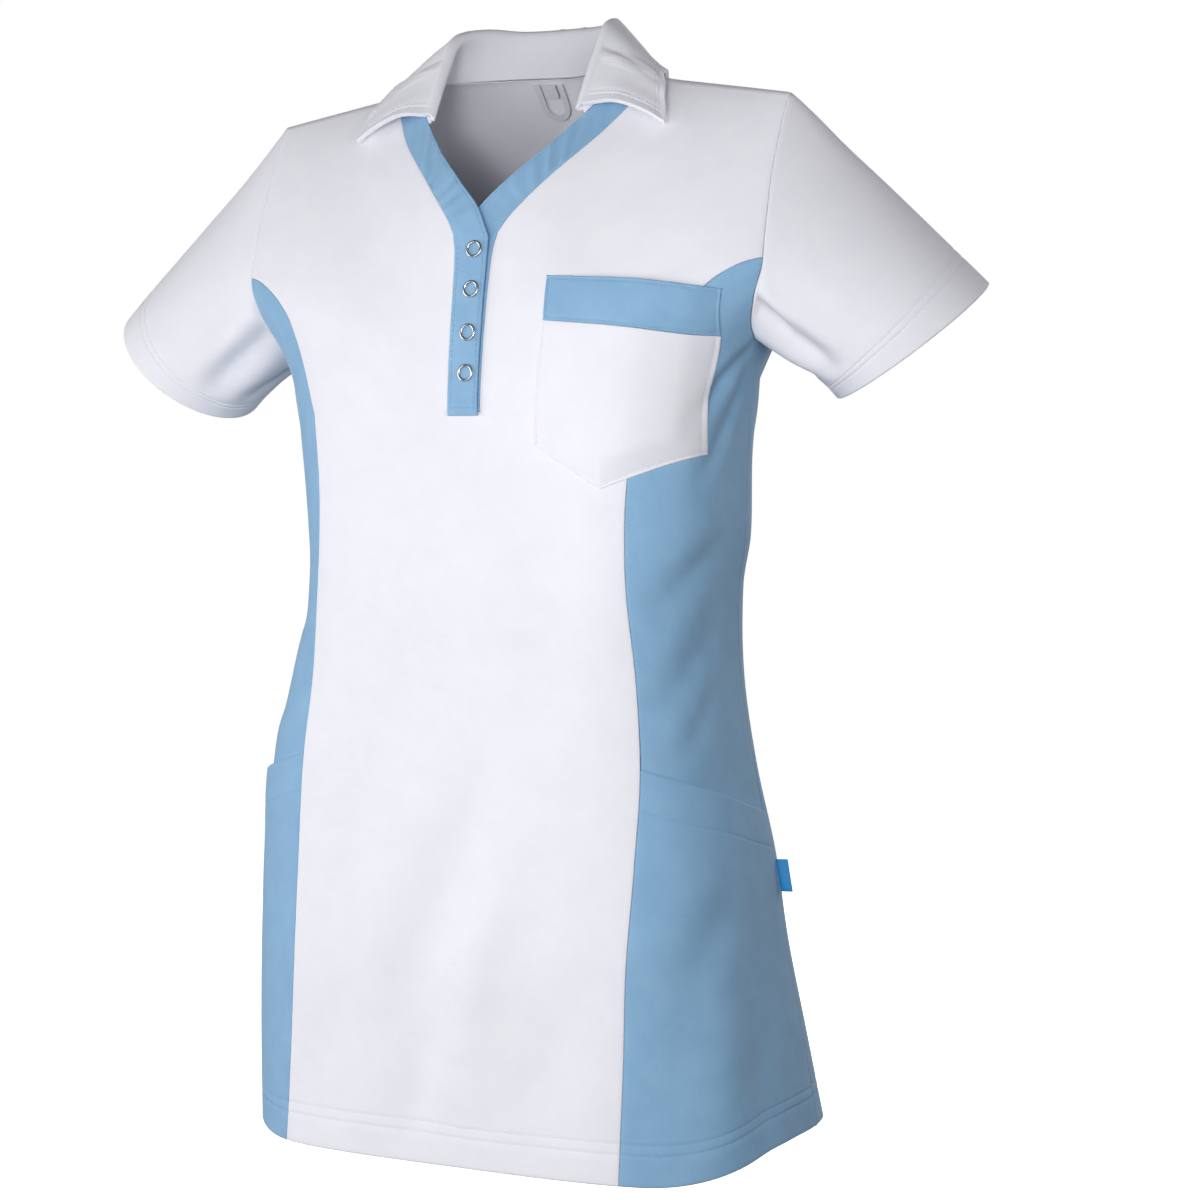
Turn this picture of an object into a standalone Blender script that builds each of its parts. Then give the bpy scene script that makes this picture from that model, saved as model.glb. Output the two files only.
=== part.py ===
"""Polo work tunic for women, short sleeved, filled out as if it were worn.

+X is the wearer's left, the front faces -Y and up is +Z. The origin is where the wearer holds the
tunic up: midway between the shoulders, on the line of the shoulder seams. Sizes are in metres.
"""
import math

import bmesh
import bpy
from mathutils import Matrix, Vector

TUNIC = "polo_work_tunic"

# Cloth walls and the clearances between pieces
CLOTH = 0.0016
COLLAR_CLOTH = 0.0020
TAPE = 0.0006
SEAM_GAP = 0.0003
OVERLAY_GAP = 0.0006

# Shoulder line: its outer end, its fall outwards and how it climbs towards the neck
SHOULDER_TIP_X = 0.1935
SHOULDER_TIP_Z = -0.016
SHOULDER_FALL = 0.17
SHOULDER_ROUNDING = 0.040
NECK_CLIMB = 0.033
NECK_CLIMB_REACH = 0.105
NECK_ROUNDING = 0.015

# How the cloth leaves the shoulder line, down the front and down the back
RIDGE_RADIUS = 0.050
FRONT_RUN = 0.260
FRONT_POWER = 0.85
BACK_RUN = 0.180
BACK_POWER = 0.50

# The placket lies in a shallow hollow between the bust points
HOLLOW_DEPTH = 0.009
HOLLOW_HEIGHT = -0.170
HOLLOW_HALF_WIDTH = 0.045
HOLLOW_HALF_LENGTH = 0.070

# Torso sections. Squareness 2 is an ellipse, and more is nearer a box. Columns: height,
# right half width, left half width, front depth, back depth, middle, front and back squareness
RIGHT_HALF, LEFT_HALF, FRONT_DEPTH, BACK_DEPTH, MIDDLE, FRONT_SQUARENESS, BACK_SQUARENESS = range(1, 8)
TORSO = (
    (0.060, 0.2130, 0.2130, 0.0840, 0.1100, 0.000, 4.0, 3.0),
    (-0.060, 0.2130, 0.2130, 0.0850, 0.1120, 0.000, 4.0, 3.0),
    (-0.125, 0.2110, 0.2110, 0.0880, 0.1150, 0.000, 3.8, 2.8),
    (-0.150, 0.1970, 0.1970, 0.0900, 0.1160, 0.000, 3.5, 2.4),
    (-0.175, 0.1780, 0.1770, 0.0910, 0.1150, 0.000, 3.2, 2.1),
    (-0.200, 0.1640, 0.1650, 0.0905, 0.1090, 0.000, 3.3, 2.05),
    (-0.243, 0.1540, 0.1600, 0.0880, 0.1020, 0.000, 3.6, 2.1),
    (-0.300, 0.1460, 0.1575, 0.0910, 0.1020, 0.000, 3.7, 2.2),
    (-0.333, 0.1440, 0.1526, 0.0934, 0.0980, 0.000, 3.7, 2.2),
    (-0.393, 0.1607, 0.1507, 0.0910, 0.1073, 0.002, 3.7, 2.2),
    (-0.453, 0.1801, 0.1577, 0.0959, 0.1173, 0.004, 3.7, 2.2),
    (-0.513, 0.1847, 0.1698, 0.1037, 0.1280, 0.006, 3.7, 2.2),
    (-0.573, 0.1839, 0.1778, 0.1132, 0.1350, 0.008, 3.7, 2.2),
    (-0.633, 0.1834, 0.1894, 0.1182, 0.1424, 0.010, 3.7, 2.2),
    (-0.710, 0.1800, 0.2050, 0.1280, 0.1500, 0.012, 3.7, 2.2),
)

# Heights that the pieces share
HEM = -0.707
HEM_SIDE_RISE = 0.017
HEM_RISE_START = 0.35
POCKET_BAG_FOOT = -0.600
SLIT_FOOT = -0.220
HIP_OPENING_AT_PRINCESS = -0.447
HIP_OPENING_AT_SIDE = -0.484

# Front princess seam, from hem to slit foot and on to the armhole: height, distance from centre
PRINCESS_LOW = (
    (-0.707, 0.1270), (-0.633, 0.1259), (-0.573, 0.1252), (-0.513, 0.1261), (-0.453, 0.1262),
    (-0.393, 0.1218), (-0.333, 0.1179), (-0.273, 0.1170), (-0.220, 0.1226),
)
PRINCESS_HIGH = (
    (-0.220, 0.1226), (-0.183, 0.1366), (-0.168, 0.1430), (-0.153, 0.1510), (-0.138, 0.1660),
    (-0.128, 0.1820), (-0.124, 0.1945),
)

# Back princess seam, from hem to armhole: height, distance from centre
BACK_PRINCESS = (
    (-0.707, 0.1150), (-0.573, 0.1120), (-0.453, 0.1060), (-0.333, 0.0930), (-0.220, 0.1030),
    (-0.160, 0.1320), (-0.130, 0.1620), (-0.118, 0.1850),
)

# Neckline, from the slit foot up: height, seam of band and front, free edge of the band
NECKLINE_SLIT = (
    (-0.220, 0.0118), (-0.160, 0.0124), (-0.120, 0.0135), (-0.103, 0.0165),
)
NECKLINE_OPEN = (
    (-0.103, 0.0165), (-0.091, 0.0245), (-0.067, 0.0460), (-0.039, 0.0730), (-0.020, 0.0870),
)
NECKLINE_FREE = (
    (-0.085, 0.0000), (-0.066, 0.0190), (-0.046, 0.0400), (-0.024, 0.0600),
)
COLLAR_SEAM_FRONT = ((-0.024, 0.0600), (-0.012, 0.0685))
NECK_POINT_X = 0.0770
BAND_TOP_X = 0.1000
BACK_NECK_HEIGHT = 0.0137

# Armhole: how square its foot is, and how far it bites into the back
ARMHOLE_DEPTH = 0.159
ARMHOLE_FOOT_POWER = 7.0
ARMHOLE_FOOT_ROUNDING = 0.55
ARMHOLE_BACK_BITE = 0.008
ARMHOLE_JUNCTION = 0.68
UNDERARM = SHOULDER_TIP_Z - ARMHOLE_DEPTH

# Side seam: height, angle round the body from the centre front
SIDE_SEAM = (
    (-0.175, 90.0), (-0.230, 96.0), (-0.330, 98.0), (-0.480, 106.0), (-0.600, 104.0), (-0.710, 99.0),
)

# Sleeves: how far the crown leaves the shoulder outwards, and how the cloth falls to the cuff
SLEEVE_CROWN = 0.33
SLEEVE_FALL = 0.55

# Sleeve cuffs: centre, slope and sweep of the arm's axis in degrees, half sizes of the ring
CUFFS = {
    "left": dict(centre=(0.2631, 0.0398, -0.1745), slope=52.0, sweep=36.5, high=0.062, deep=0.050),
    "right": dict(centre=(-0.2825, 0.0060, -0.1800), slope=49.5, sweep=21.0, high=0.063, deep=0.050),
}

# Collar: 1 is the centre back, 0.5 the neck point and 0 the front edge. Columns: part of the way
# from front to back, then the roll's x, y and z and the outer edge's x, y and z
ROLL_COLUMNS, EDGE_COLUMNS = (1, 2, 3), (4, 5, 6)
COLLAR = (
    (1.00, 0.0000, 0.0660, 0.0460, 0.0000, 0.0790, 0.0040),
    (0.83, 0.0320, 0.0560, 0.0450, 0.0450, 0.0740, 0.0020),
    (0.67, 0.0500, 0.0320, 0.0445, 0.0790, 0.0500, 0.0000),
    (0.50, 0.0590, 0.0060, 0.0370, 0.0995, 0.0060, 0.0020),
    (0.33, 0.0595, -0.0090, 0.0170, 0.1100, -0.0120, -0.0090),
    (0.17, 0.0590, -0.0200, -0.0010, 0.1140, -0.0210, -0.0220),
    (0.00, 0.0585, -0.0300, -0.0190, 0.1150, -0.0300, -0.0340),
)
ROLL_RADIUS = 0.0032
STAND_LEAN = 0.0010
FALL_BULGE = 0.0020
COLLAR_CLEARANCE = 0.0034

# Placket: half widths of its upper and under strips, its foot, and how fast the upper one rises
UPPER_STRIP_HALF = 0.0115
UNDER_STRIP_HALF = 0.0100
PLACKET_FOOT = -0.2225
CROSSING_STEPS = 2.0
PLACKET_GAP = 0.0012

# Hip pockets: how deep the bag lies behind the pocket, and how far its mouth stands proud
POCKET_RECESS = CLOTH + 0.0008
RECESS_STEPS = 2.0
HIP_MOUTH_STAND = 0.0025

# Breast pocket corners on the front: distance to the left of centre, height
BREAST_POCKET = {
    "top inner": (0.0562, -0.1326), "top outer": (0.1721, -0.1436),
    "band low inner": (0.0574, -0.1618), "band low outer": (0.1663, -0.1732),
    "foot inner": (0.0541, -0.2417), "point": (0.1005, -0.2704), "foot outer": (0.1562, -0.2482),
}
POCKET_GAP = 0.0010
POCKET_ACROSS = 10
POCKET_POINT_STEP = 3
POCKET_DOWN = 6
POCKET_BAND_DOWN = 3

# Ring snaps, a little to the left of the centre line
SNAP_X = 0.0025
SNAP_HEIGHTS = (-0.1145, -0.1406, -0.1687, -0.1950)
SNAP_RADIUS = 0.0058
SNAP_WIRE = 0.0009

# Side label
LABEL_HEIGHT = -0.527
LABEL_REACH = 0.0090
LABEL_TALL = 0.0210
LABEL_THICK = 0.0012
LABEL_GAP = 0.0018

# Hanger loop and size label
TAPE_GAP = 0.0016
LOOP_X = -0.0160
LOOP_RADIUS = 0.0078
LOOP_TOP = 0.0115
LOOP_FOOT = -0.0100
LOOP_BEND_STEPS = 8
LOOP_TAPE_WIDTH = 0.0040
SIZE_LABEL_WIDTH = 0.0090
SIZE_LABEL_TALL = 0.0085

# Numbers of steps along the pieces
STEPS_TO_BAG = 3
STEPS_TO_OPENING = 4
STEPS_TO_SLIT = 6
STEPS_TO_ARMHOLE = 6
STEPS_UP_ARMHOLE = 6
STEPS_ACROSS_SIDE = 5
STEPS_ACROSS_WING = 5
STEPS_ACROSS_SLIT = 2
STEPS_ACROSS_BAND = 2
STEPS_HALF_BACK_NECK = 4
ROWS_UNDER_NECK = 3
STEPS_BACK = STEPS_TO_BAG + STEPS_TO_OPENING + STEPS_TO_SLIT + STEPS_TO_ARMHOLE + STEPS_UP_ARMHOLE
STEPS_DOWN_SLEEVE = 7
STEPS_COLLAR_FRONT = 3

WHITE_KNIT = ((0.86, 0.86, 0.90), 0.85, 0.0)
BLUE_KNIT = ((0.25, 0.48, 0.70), 0.85, 0.0)
WHITE_TAPE = ((0.80, 0.80, 0.82), 0.70, 0.0)
CYAN_TAPE = ((0.01, 0.25, 0.58), 0.60, 0.0)
NICKEL = ((0.70, 0.70, 0.72), 0.25, 1.0)


# Curves and tables

def smooth_value(rows, height, column):
    """A column of a table of falling heights, smooth between the rows."""
    count = len(rows)
    low = 0
    while low < count - 2 and height < rows[low + 1][0]:
        low += 1
    here, there = rows[low], rows[low + 1]
    before, after = rows[max(low - 1, 0)], rows[min(low + 2, count - 1)]
    span = there[0] - here[0]
    part = min(max((height - here[0]) / span, 0.0), 1.0)
    slope_here = (there[column] - before[column]) / (there[0] - before[0]) * span
    slope_there = (after[column] - here[column]) / (after[0] - here[0]) * span
    square, cube = part * part, part ** 3
    return ((2 * cube - 3 * square + 1) * here[column] + (cube - 2 * square + part) * slope_here
            + (3 * square - 2 * cube) * there[column] + (cube - square) * slope_there)


def smooth_path(points, steps):
    """Even steps along a smooth curve through the points, which are tuples of numbers."""
    knots = [Vector(point).to_3d() if len(point) == 2 else Vector(point) for point in points]
    fine = []
    for index in range(len(knots) - 1):
        start, end = knots[index], knots[index + 1]
        before = knots[index - 1] if index else start * 2 - end
        after = knots[index + 2] if index + 2 < len(knots) else end * 2 - start
        for step in range(12):
            part = step / 12
            square, cube = part * part, part ** 3
            fine.append(0.5 * (2 * start + (end - before) * part
                               + (2 * before - 5 * start + 4 * end - after) * square
                               + (3 * start - before - 3 * end + after) * cube))
    fine.append(knots[-1])
    lengths = [0.0]
    for index in range(1, len(fine)):
        lengths.append(lengths[-1] + (fine[index] - fine[index - 1]).length)
    path = []
    piece = 1
    for step in range(steps + 1):
        wanted = lengths[-1] * step / steps
        while piece < len(fine) - 1 and lengths[piece] < wanted:
            piece += 1
        part = (wanted - lengths[piece - 1]) / (lengths[piece] - lengths[piece - 1])
        path.append(fine[piece - 1].lerp(fine[piece], part))
    return path


def even(start, end, steps):
    return [start + (end - start) * step / steps for step in range(steps + 1)]


def ease(part):
    part = min(max(part, 0.0), 1.0)
    return part * part * (3 - 2 * part)


# The torso's surface. A place on it is (angle, reach): the angle round the body from the centre
# front, positive to the wearer's left, and the reach down from the shoulder line.

def shoulder_height(x):
    rounded = math.sqrt(x * x + SHOULDER_ROUNDING ** 2)
    tip = math.sqrt(SHOULDER_TIP_X ** 2 + SHOULDER_ROUNDING ** 2)
    outwards = math.sqrt(x * x + NECK_ROUNDING ** 2) - NECK_ROUNDING
    climb = max(0.0, 1 - outwards / NECK_CLIMB_REACH)
    return SHOULDER_TIP_Z + SHOULDER_FALL * (tip - rounded) + NECK_CLIMB * climb * climb


def drop_from_reach(reach):
    return math.sqrt(reach * reach + RIDGE_RADIUS ** 2) - RIDGE_RADIUS


def reach_from_drop(drop):
    return math.sqrt((max(drop, 0.0) + RIDGE_RADIUS) ** 2 - RIDGE_RADIUS ** 2)


def round_the_body(angle, squareness):
    """Sideways and forward parts, each from 0 to 1, of a direction round a section."""
    sideways, forward = abs(math.sin(math.radians(angle))), abs(math.cos(math.radians(angle)))
    size = (sideways ** squareness + forward ** squareness) ** (-1 / squareness)
    return sideways * size, forward * size


def torso_point(angle, reach):
    front = math.cos(math.radians(angle)) >= 0
    side = math.copysign(1, math.sin(math.radians(angle)))
    drop = drop_from_reach(reach)
    height = -0.1
    for _ in range(9):
        squareness = smooth_value(TORSO, height, FRONT_SQUARENESS if front else BACK_SQUARENESS)
        sideways, forward = round_the_body(angle, squareness)
        x = side * smooth_value(TORSO, height, LEFT_HALF if side > 0 else RIGHT_HALF) * sideways
        height = shoulder_height(x) - drop
    if front:
        bulge = (1 - max(0.0, 1 - drop / FRONT_RUN) ** 2) ** FRONT_POWER
        depth = smooth_value(TORSO, height, FRONT_DEPTH) * forward * bulge
        hollow = HOLLOW_DEPTH * math.exp(-(x / HOLLOW_HALF_WIDTH) ** 2
                                         - ((height - HOLLOW_HEIGHT) / HOLLOW_HALF_LENGTH) ** 2)
        y = smooth_value(TORSO, height, MIDDLE) - depth + hollow
    else:
        bulge = (1 - max(0.0, 1 - drop / BACK_RUN) ** 2) ** BACK_POWER
        depth = smooth_value(TORSO, height, BACK_DEPTH) * forward * bulge
        y = smooth_value(TORSO, height, MIDDLE) + depth
    return Vector((x, y, height))


def torso_spot(angle, reach):
    """Point and outward normal of the torso's surface at a place."""
    point = torso_point(angle, reach)
    if reach < 1e-4:
        step = 1e-3
        climb = (shoulder_height(point.x + step) - shoulder_height(point.x - step)) / (2 * step)
        return point, Vector((-climb, 0, 1)).normalized()
    across = torso_point(angle + 0.2, reach) - torso_point(angle - 0.2, reach)
    down = torso_point(angle, reach + 5e-4) - torso_point(angle, max(reach - 5e-4, 0.0))
    return point, down.cross(across).normalized()


def place(x, height, back=False):
    """The place of a point given by its distance to the left of centre and its height."""
    half_width = smooth_value(TORSO, height, LEFT_HALF if x >= 0 else RIGHT_HALF)
    squareness = smooth_value(TORSO, height, BACK_SQUARENESS if back else FRONT_SQUARENESS)
    sideways = min(abs(x) / half_width, 0.99999)
    forward = (1 - sideways ** squareness) ** (1 / squareness)
    angle = math.degrees(math.atan2(sideways, forward))
    if back:
        angle = 180 - angle
    return math.copysign(angle, x), reach_from_drop(shoulder_height(x) - height)


def side_place(side, angle, height):
    """The place at an angle round the body and a height."""
    half_width = smooth_value(TORSO, height, LEFT_HALF if side > 0 else RIGHT_HALF)
    squareness = smooth_value(TORSO, height, FRONT_SQUARENESS if angle <= 90 else BACK_SQUARENESS)
    x = half_width * round_the_body(angle, squareness)[0]
    return side * angle, reach_from_drop(shoulder_height(x) - height)


def armhole_place(side, down, back):
    """A place on the armhole seam, from 0 at the shoulder to 1 under the arm."""
    height = SHOULDER_TIP_Z - ARMHOLE_DEPTH * down
    x = SHOULDER_TIP_X - (ARMHOLE_BACK_BITE * math.sin(math.pi * down) if back else 0.0)
    half_width = TORSO[0][LEFT_HALF]
    squareness = smooth_value(TORSO, height, BACK_SQUARENESS if back else FRONT_SQUARENESS)
    sideways = x / half_width
    forward = (1 - sideways ** squareness) ** (1 / squareness)
    foot = (1 - down ** ARMHOLE_FOOT_POWER) ** ARMHOLE_FOOT_ROUNDING
    from_side = (90 - math.degrees(math.atan2(sideways, forward))) * foot
    angle = 90 + from_side if back else 90 - from_side
    return side_place(side, angle, height)


def hem_place(angle):
    """A place on the hem, which rises from the front and back towards the sides."""
    side = math.copysign(1, math.sin(math.radians(angle)))
    round_side = math.sin(math.radians(angle)) ** 2
    rise = HEM_SIDE_RISE * ease((round_side - HEM_RISE_START) / (1 - HEM_RISE_START))
    from_front = math.degrees(math.acos(math.cos(math.radians(angle))))
    return side_place(side, from_front, HEM + rise)


def blended_patch(bottom, top, left, right):
    """Places between four edges that share their corners. Rows run from bottom to top."""
    rows, columns = len(left) - 1, len(bottom) - 1
    grid = []
    for row in range(rows + 1):
        up = row / rows
        line = []
        for column in range(columns + 1):
            over = column / columns
            place_here = []
            for part in (0, 1):
                sides = left[row][part] * (1 - over) + right[row][part] * over
                ends = bottom[column][part] * (1 - up) + top[column][part] * up
                corners = ((bottom[0][part] * (1 - over) + bottom[-1][part] * over) * (1 - up)
                           + (top[0][part] * (1 - over) + top[-1][part] * over) * up)
                place_here.append(sides + ends - corners)
            line.append(tuple(place_here))
        grid.append(line)
    return grid


def spots(grid):
    return [[torso_spot(*here) for here in line] for line in grid]


def on_torso(grid, back=False):
    """Spots from a grid of distances to the left of centre and heights."""
    return [[torso_spot(*place(*here, back)) for here in line] for line in grid]


def seam_normal(one, other):
    """Direction of a seam's rim between two sheets, long enough to keep their thickness."""
    middle = (one + other).normalized()
    return middle / max(middle.dot(one), 0.7)


# Building pieces

def make_material(name, look):
    colour, roughness, metallic = look
    material = bpy.data.materials.new(name)
    material.use_nodes = True
    shader = material.node_tree.nodes["Principled BSDF"]
    shader.inputs["Base Color"].default_value = (*colour, 1.0)
    shader.inputs["Roughness"].default_value = roughness
    shader.inputs["Metallic"].default_value = metallic
    return material


def finish_object(name, mesh, look):
    data = bpy.data.meshes.new(name)
    mesh.to_mesh(data)
    mesh.free()
    data.shade_smooth()
    data.set_sharp_from_angle(angle=math.radians(40))
    data.materials.append(make_material(name + "_material", look))
    piece = bpy.data.objects.new(name, data)
    tunic.objects.link(piece)
    return piece


def draw_edges_in(mesh, distance):
    """Moves an open sheet's edge inwards, so that a seam keeps its gap."""
    inward_at = {}
    for edge in mesh.edges:
        if not edge.is_boundary:
            continue
        along = (edge.verts[1].co - edge.verts[0].co).normalized()
        inward = edge.link_faces[0].calc_center_median() - edge.verts[0].co
        inward = (inward - along * inward.dot(along)).normalized()
        for vert in edge.verts:
            inward_at.setdefault(vert, []).append(inward)
    for vert, inward in inward_at.items():
        both = inward[0] + inward[-1]
        vert.co += both * distance / max(1 + inward[0].dot(inward[-1]), 0.5)


def sew_sheet(name, grids, look, thickness=CLOTH, gap=SEAM_GAP):
    """A closed wall of cloth from grids of spots, which lie on its outer side."""
    mesh = bmesh.new()
    mark = mesh.verts.layers.int.new("spot")
    normals = []
    for grid in grids:
        columns = len(grid[0])
        made = bmesh.ops.create_grid(mesh, x_segments=columns - 1, y_segments=len(grid) - 1, size=1.0)
        for index, vert in enumerate(made["verts"]):
            point, normal = grid[index // columns][index % columns]
            vert.co = point
            vert[mark] = len(normals)
            normals.append(normal)
    bmesh.ops.remove_doubles(mesh, verts=mesh.verts, dist=1e-6)
    if gap:
        draw_edges_in(mesh, gap / 2)
    copied = bmesh.ops.extrude_face_region(mesh, geom=mesh.faces[:], use_keep_orig=True)
    for vert in (item for item in copied["geom"] if isinstance(item, bmesh.types.BMVert)):
        vert.co -= normals[vert[mark]] * thickness
    bmesh.ops.recalc_face_normals(mesh, faces=mesh.faces)
    return finish_object(name, mesh, look)


def lifted(grid, lift):
    """A grid of spots moved outwards by a distance, or by a function of row and column."""
    rows = []
    for row, line in enumerate(grid):
        rows.append([])
        for column, (point, normal) in enumerate(line):
            distance = lift(row, column) if callable(lift) else lift
            rows[-1].append((point + normal.normalized() * distance, normal))
    return rows


# Edges that neighbouring panels share, as places

def princess_edge(side):
    """From hem to armhole, with steps at the pocket bag's foot, the opening and the slit's foot."""
    heights = (even(HEM, POCKET_BAG_FOOT, STEPS_TO_BAG)
               + even(POCKET_BAG_FOOT, HIP_OPENING_AT_PRINCESS, STEPS_TO_OPENING)[1:]
               + even(HIP_OPENING_AT_PRINCESS, SLIT_FOOT, STEPS_TO_SLIT)[1:])
    falling = tuple(reversed(PRINCESS_LOW))
    low = [place(side * smooth_value(falling, height, 1), height) for height in heights]
    low[0] = hem_place(low[0][0])
    high = [place(side * point.y, point.x) for point in smooth_path(PRINCESS_HIGH, STEPS_TO_ARMHOLE)]
    high[-1] = armhole_place(side, ARMHOLE_JUNCTION, back=False)
    return low + high[1:]


def side_edge(side):
    """From hem to underarm, with steps at the pocket bag's foot and the opening."""
    heights = (even(HEM, POCKET_BAG_FOOT, STEPS_TO_BAG)
               + even(POCKET_BAG_FOOT, HIP_OPENING_AT_SIDE, STEPS_TO_OPENING)[1:]
               + even(HIP_OPENING_AT_SIDE, UNDERARM, STEPS_TO_SLIT + STEPS_TO_ARMHOLE)[1:])
    edge = [side_place(side, smooth_value(SIDE_SEAM, height, 1), height) for height in heights]
    edge[0] = hem_place(side * smooth_value(SIDE_SEAM, HEM, 1))
    return edge


def back_princess_edge(side):
    steps = STEPS_TO_BAG + STEPS_TO_OPENING + STEPS_TO_SLIT + STEPS_TO_ARMHOLE
    path = smooth_path(BACK_PRINCESS, steps)
    edge = [place(side * point.y, point.x, back=True) for point in path]
    edge[0] = hem_place(edge[0][0])
    edge[-1] = armhole_place(side, ARMHOLE_JUNCTION, back=True)
    return edge


def armhole_steps():
    """Parts of the way down the armhole at its seam points, closer together towards its foot."""
    high = even(0, ARMHOLE_JUNCTION, STEPS_UP_ARMHOLE)
    low = [ARMHOLE_JUNCTION + (1 - ARMHOLE_JUNCTION) * math.sin(turn)
           for turn in even(0, math.pi / 2, STEPS_ACROSS_SIDE)]
    return high, low


def armhole_high(side, back):
    """From the princess seam up to the shoulder."""
    return [armhole_place(side, down, back) for down in reversed(armhole_steps()[0])]


def armhole_low(side, back):
    """From the princess seam down to the side seam."""
    return [armhole_place(side, down, back) for down in armhole_steps()[1]]


def shoulder_edge(side, start, end, steps, back=False):
    """Along the shoulder line between two distances from the centre."""
    return [place(side * x, shoulder_height(x), back) for x in even(start, end, steps)]


def hem_edge(start_angle, end_angle, steps):
    return [hem_place(angle) for angle in even(start_angle, end_angle, steps)]


def straight(start, end, steps):
    """Even steps between two pairs of numbers."""
    return [tuple(a + (b - a) * step / steps for a, b in zip(start, end)) for step in range(steps + 1)]


def level(start_angle, end_angle, steps, height):
    """Along the front at one height."""
    return [side_place(math.copysign(1, angle), abs(angle), height)
            for angle in even(start_angle, end_angle, steps)]


def band_seam(side):
    """Seam of the neck band and the front, from the slit's foot up to the shoulder, as distances
    to the left of centre and heights."""
    slit = smooth_path(NECKLINE_SLIT, STEPS_TO_ARMHOLE)
    opening = smooth_path(NECKLINE_OPEN + ((shoulder_height(BAND_TOP_X), BAND_TOP_X),),
                          STEPS_UP_ARMHOLE)
    return [(side * point.y, point.x) for point in slit + opening[1:]]


def collar_seam_front(side):
    """From the band's free edge to the neck point, as distances to the left and heights."""
    points = COLLAR_SEAM_FRONT + ((shoulder_height(NECK_POINT_X), NECK_POINT_X),)
    return [(side * point.y, point.x) for point in smooth_path(points, STEPS_COLLAR_FRONT)]


def collar_seam_back(side):
    """From the neck point to the centre back."""
    rise = BACK_NECK_HEIGHT - shoulder_height(NECK_POINT_X)
    return [place(side * x, BACK_NECK_HEIGHT - rise * (x / NECK_POINT_X) ** 2, back=True)
            for x in even(NECK_POINT_X, 0.0, STEPS_HALF_BACK_NECK)]


# Sleeves

def cuff_ring(cuff, turns):
    """Points and outward directions round a cuff. Turn 0 is its top and 0.25 its front."""
    slope, sweep = math.radians(cuff["slope"]), math.radians(cuff["sweep"])
    outward = math.copysign(1, cuff["centre"][0])
    axis = Vector((outward * math.cos(slope) * math.cos(sweep), math.cos(slope) * math.sin(sweep),
                   -math.sin(slope)))
    up = (Vector((0, 0, 1)) - axis * axis.z).normalized()
    forward = axis.cross(up)
    if forward.y > 0:
        forward.negate()
    ring = []
    for turn in turns:
        angle = 2 * math.pi * turn
        ring.append(Vector(cuff["centre"]) + up * cuff["high"] * math.cos(angle)
                    + forward * cuff["deep"] * math.sin(angle))
    return ring, axis


def armhole_ring(side):
    """Places round the armhole from the shoulder's tip down the front, and up the back."""
    high, low = armhole_steps()
    down = high + low[1:]
    front = [armhole_place(side, part, back=False) for part in down]
    back = [armhole_place(side, part, back=True) for part in reversed(down[1:-1])]
    return front + back


def sleeve_grid(name, side):
    """Spots down the sleeve, and the armhole's seam spots that the body panels share."""
    seam = [torso_spot(*here) for here in armhole_ring(side)]
    count = len(seam)
    lengths = [0.0]
    for index in range(count):
        lengths.append(lengths[-1] + (seam[(index + 1) % count][0] - seam[index][0]).length)
    turns = [length / lengths[-1] for length in lengths[:count]]
    cuff, axis = cuff_ring(CUFFS[name], turns)
    rows = []
    for row in range(STEPS_DOWN_SLEEVE + 1):
        part = row / STEPS_DOWN_SLEEVE
        rows.append([sleeve_point(seam[i], cuff[i], axis, side, part) for i in range(count)])
    grid = []
    for row, line in enumerate(rows):
        grid.append([])
        for index, point in enumerate(line):
            around = line[(index + 1) % count] - line[index - 1]
            above, below = rows[max(row - 1, 0)][index], rows[min(row + 1, len(rows) - 1)][index]
            normal = around.cross(below - above).normalized() * side
            grid[-1].append((point, normal))
    for index in range(count):
        point, own = seam[index]
        grid[0][index] = (point, seam_normal(own, grid[0][index][1]))
    return [line + line[:1] for line in grid]


def sleeve_point(seam_spot, cuff_point, axis, side, part):
    """A point down one thread of the sleeve, which leaves the shoulder outwards and then falls."""
    start, normal = seam_spot
    length = (cuff_point - start).length
    chord = (cuff_point - start).normalized()
    outwards = Vector((side, 0.0, 0.0))
    leave = (chord + outwards * SLEEVE_CROWN * max(normal.z, 0.0)).normalized() * length
    arrive = (axis * SLEEVE_FALL + chord).normalized() * length
    square, cube = part * part, part ** 3
    return (start * (2 * cube - 3 * square + 1) + leave * (cube - 2 * square + part)
            + cuff_point * (3 * square - 2 * cube) + arrive * (cube - square))


# Body panels

def armhole_spots(ring, first, last, back):
    """The seam spots between two steps down an armhole, which its panels and sleeve share."""
    count = len(ring)
    return [ring[(count - step) % count if back else step] for step in range(first, last + 1)]


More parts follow.
